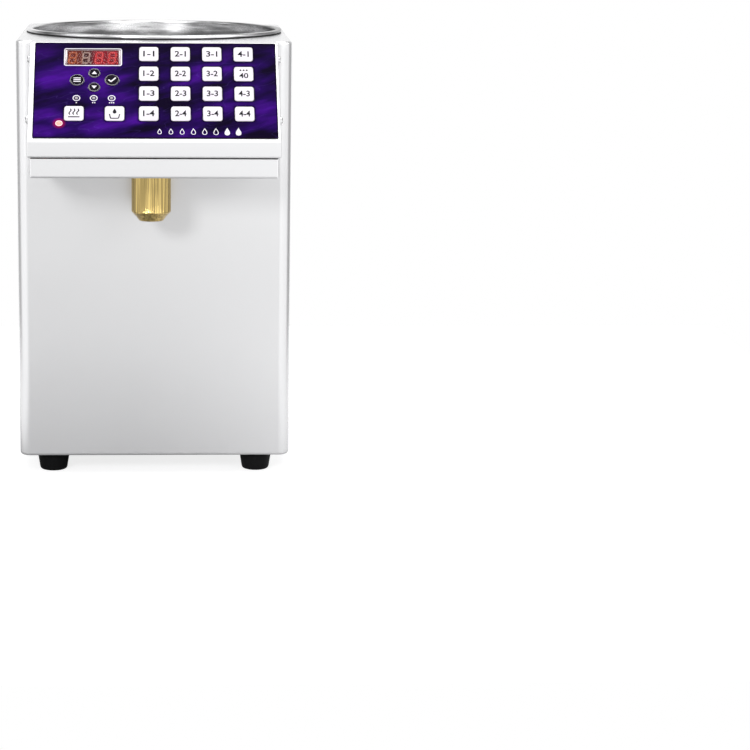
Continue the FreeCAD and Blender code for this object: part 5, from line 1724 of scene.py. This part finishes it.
@dataclass(frozen=True)
class RockerMarks:
    """The generic on and off marks on the mains rocker: a bar and a ring.

    Attributes:
        ink: The marks' thickness.
        up: How far each mark's middle stands from the rocker's middle, in millimetres.
        half_height: Half the rocker's height.
        dip: How much lower the middle of its face is than the ends.
        tilt: How far it is turned, in degrees.
        pivot: How far its pivot lies inside the service cover's back.
    """

    ink: float = 0.05 * MM
    up: float = 4.0
    half_height: float = 7.3 * MM
    dip: float = 0.4 * MM
    tilt: float = 12.0
    pivot: float = 5.0 * MM

    def build(self, wardrobe: Wardrobe) -> None:
        """Lays the marks on the rocker's two faces.

        The rocker's face is found in its own turned frame: outwards is +Y turned by the tilt about +X.

        Args:
            wardrobe: The finishes.
        """
        low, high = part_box("switch_rocker")
        housing_low, housing_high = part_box("switch_housing")
        pivot = np.array([(low.x + high.x) / 2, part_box("service_cover")[1].y - self.pivot,
                          (housing_low.z + housing_high.z) / 2])
        turn = math.radians(self.tilt)
        local = mesh_points(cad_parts["switch_rocker"].data) - pivot
        face = float((local[:, 1] * math.cos(turn) + local[:, 2] * math.sin(turn)).max())

        def place(marks: Grid) -> Grid:
            """Stands flat marks on the tilted face: x is mirrored, because they are read from behind.

            Args:
                marks: Rows of x, up and rise.

            Returns:
                Rows of x, y and z.
            """
            x, up, rise = np.moveaxis(marks, -1, 0)
            out = face - self.dip * (1 - np.abs(up) / self.half_height) + rise
            y = out * math.cos(turn) - up * math.sin(turn)
            z = out * math.sin(turn) + up * math.cos(turn)
            return np.stack([-x, y, z], -1) + pivot

        skin = Skin()
        skin.add_stroke(level_line(1.8, self.up), 0.7 * MM, 0, self.ink)
        skin.add_ring(1.5 * MM, np.array([0.0, -self.up]) * MM, 0.6 * MM, 0, self.ink)
        skin.piece("rocker_marks", place, wardrobe["print_white"], "rocker_black", "power_rocker")


# ---------------------------------------------------------------- studio

@dataclass(frozen=True)
class Softbox:
    """A large soft lamp that looks at the machine.

    Attributes:
        AIM: What it looks at: the machine's middle.
        spot: Where it hangs.
        size: Its width and height.
        power: Its power, in watts.
    """

    AIM: ClassVar[Spot] = (0.0, 0.0, 0.22)

    spot: Spot
    size: Pair
    power: float

    def hang(self, name: str) -> None:
        """Adds the lamp.

        Args:
            name: The lamp's name.
        """
        light = bpy.data.lights.new(name, "AREA")
        light.shape = "RECTANGLE"
        light.size, light.size_y = self.size
        light.energy = self.power
        lamp = placed(name, light)
        lamp.location = self.spot
        aim = Vector(self.AIM) - Vector(self.spot)
        lamp.rotation_euler = aim.to_track_quat("-Z", "Y").to_euler()


@dataclass(frozen=True)
class Studio:
    """The camera, the pale floor, the lamps and the surroundings.

    Attributes:
        eye: The camera's place.
        yaw: How far it looks to the right, in degrees.
        pitch: How far it looks down.
        roll: How far it leans.
        lens: Its focal length, in millimetres.
        shift: How far the picture slides to the right, as a share of its width.
        floor_half: Half the floor's width.
        matte: The floor's tone for the rays that see it.
        dim: Its tone for the light that it throws back at the machine.
        lifts: Where the floor shines in reflections: its left and right parts, from where they begin along X
            to where they are full.
        room_across: The room's tone behind the camera along X: where it starts and ends to change, and its
            level before and after.
        room_up: The same along Z; the two are multiplied.
        room_turns: Where the room changes along Y, from behind the camera to beside it, to beside the
            machine and to behind the machine.
        bright: The room's level beside the camera.
        dark: Its level beside the machine.
        low_light: Its level for the rays that only light the machine.
        boxes: The soft lamps.
    """

    eye: Spot = (0.0, -2.559, 0.600)
    yaw: float = 2.670
    pitch: float = 11.361
    roll: float = 0.455
    lens: float = 121.18
    shift: float = 0.14
    floor_half: float = 0.75
    matte: Colour = (0.42, 0.42, 0.425)
    dim: Colour = (0.20, 0.20, 0.205)
    lifts: tuple[Pair, ...] = ((-0.18, -0.38), (-0.05, 0.38))
    room_across: tuple[float, ...] = (-0.14, 0.14, 0.62, 1.50)
    room_up: tuple[float, ...] = (-0.28, -0.04, 0.35, 1.28)
    room_turns: tuple[Pair, ...] = ((-0.985, -0.87), (-0.10, 0.20), (0.60, 0.90))
    bright: float = 1.3
    dark: float = 0.3
    low_light: float = 0.35
    boxes: tuple[Softbox, ...] = (
        Softbox((-1.0, -2.5, 1.15), (0.6, 0.5), 34.0),
        Softbox((1.5, -2.2, 1.15), (1.2, 1.0), 14.0),
        Softbox((-2.2, -0.6, 1.3), (0.9, 1.0), 7.0),
        Softbox((2.2, -0.6, 1.3), (0.9, 1.0), 7.0),
        Softbox((0.0, 0.25, 2.3), (1.6, 1.2), 20.0),
    )

    def build(self) -> None:
        """Sets everything up."""
        self.place_camera()
        self.lay_floor()
        for number, box in enumerate(self.boxes, 1):
            box.hang(f"softbox_{number}")
        self.surround()
        bpy.context.scene.view_settings.view_transform = "Standard"

    def place_camera(self) -> None:
        """Stands the camera in front of the machine."""
        camera = bpy.data.cameras.new("camera")
        camera.lens = self.lens
        camera.shift_x = self.shift
        camera.clip_end = 300.0
        holder = placed("camera", camera)
        turn = Euler((math.radians(90.0 - self.pitch), 0.0, -math.radians(self.yaw))).to_matrix()
        lean = Euler((0.0, 0.0, math.radians(self.roll))).to_matrix()
        holder.location = self.eye
        holder.rotation_euler = (turn @ lean).to_euler()
        bpy.context.scene.camera = holder

    def lay_floor(self) -> None:
        """Lays a wide pale floor that the camera sees as white, with the machine's soft shadow on it."""
        half = self.floor_half
        corners = [(-half, -half, 0), (half, -half, 0), (half, half, 0), (-half, half, 0)]
        mesh = bpy.data.meshes.new("floor")
        mesh.from_pydata(corners, [], [(0, 1, 2, 3)])
        floor = placed("floor", mesh)
        bench = Bench.for_material("finish_floor")
        matte = bench.node("ShaderNodeBsdfDiffuse", {"Color": self.matte}).outputs[0]
        dim = bench.node("ShaderNodeBsdfDiffuse", {"Color": self.dim}).outputs[0]
        across = bench.parts(bench.spots())[0]
        aside = bench.math("ADD", *[bench.span(across, *lift, 0.0, 0.9) for lift in self.lifts])
        lift = bench.blend(bench.camera_rays(), aside, 0.8)
        glow = bench.node("ShaderNodeEmission", {"Color": WHITE, "Strength": lift}).outputs[0]
        both = bench.node("ShaderNodeAddShader", {0: matte, 1: glow}).outputs[0]
        mixed = bench.node("ShaderNodeMixShader", {0: bench.background_rays(), 1: dim, 2: both}).outputs[0]
        mesh.materials.append(bench.close(mixed))

    def surround(self) -> None:
        """Surrounds the scene with a pale room. Camera rays see it white all round. Glossy and transmission
        rays see it white behind the machine, dark beside that, bright beside the camera, and behind the
        camera a grey that grows lighter upwards and to the right. Other rays see it dimmer."""
        world = bpy.data.worlds.new("room")
        bpy.context.scene.world = world
        bench = Bench(world, "ShaderNodeOutputWorld")
        x, y, z = bench.parts(bench.node("ShaderNodeTexCoord").outputs["Generated"])
        to_side, to_machine, to_back = (bench.span(y, *turn) for turn in self.room_turns)
        front = bench.math("MULTIPLY", bench.span(x, *self.room_across), bench.span(z, *self.room_up))
        level = bench.blend(to_side, front, bench.blend(to_machine, self.bright, self.dark))
        level = bench.blend(to_back, level, 1.0)
        shown = bench.blend(bench.camera_rays(), level, 1.0)
        strength = bench.blend(bench.background_rays(), self.low_light, shown)
        bench.close(bench.node("ShaderNodeBackground", {"Color": WHITE, "Strength": strength}).outputs[0])


def main() -> None:
    """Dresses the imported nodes, builds each sub-assembly in order and sets up the studio."""
    logging.basicConfig(level=logging.INFO, format="%(name)s: %(message)s")
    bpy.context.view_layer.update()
    wardrobe = Wardrobe()
    wardrobe.dress_nodes()
    for assembly in (Tank(), Nozzle(), Feet(), Keypad(), Display(), Lamps(), RockerMarks()):
        assembly.build(wardrobe)
    Studio().build()


if __name__ == "__main__":
    main()
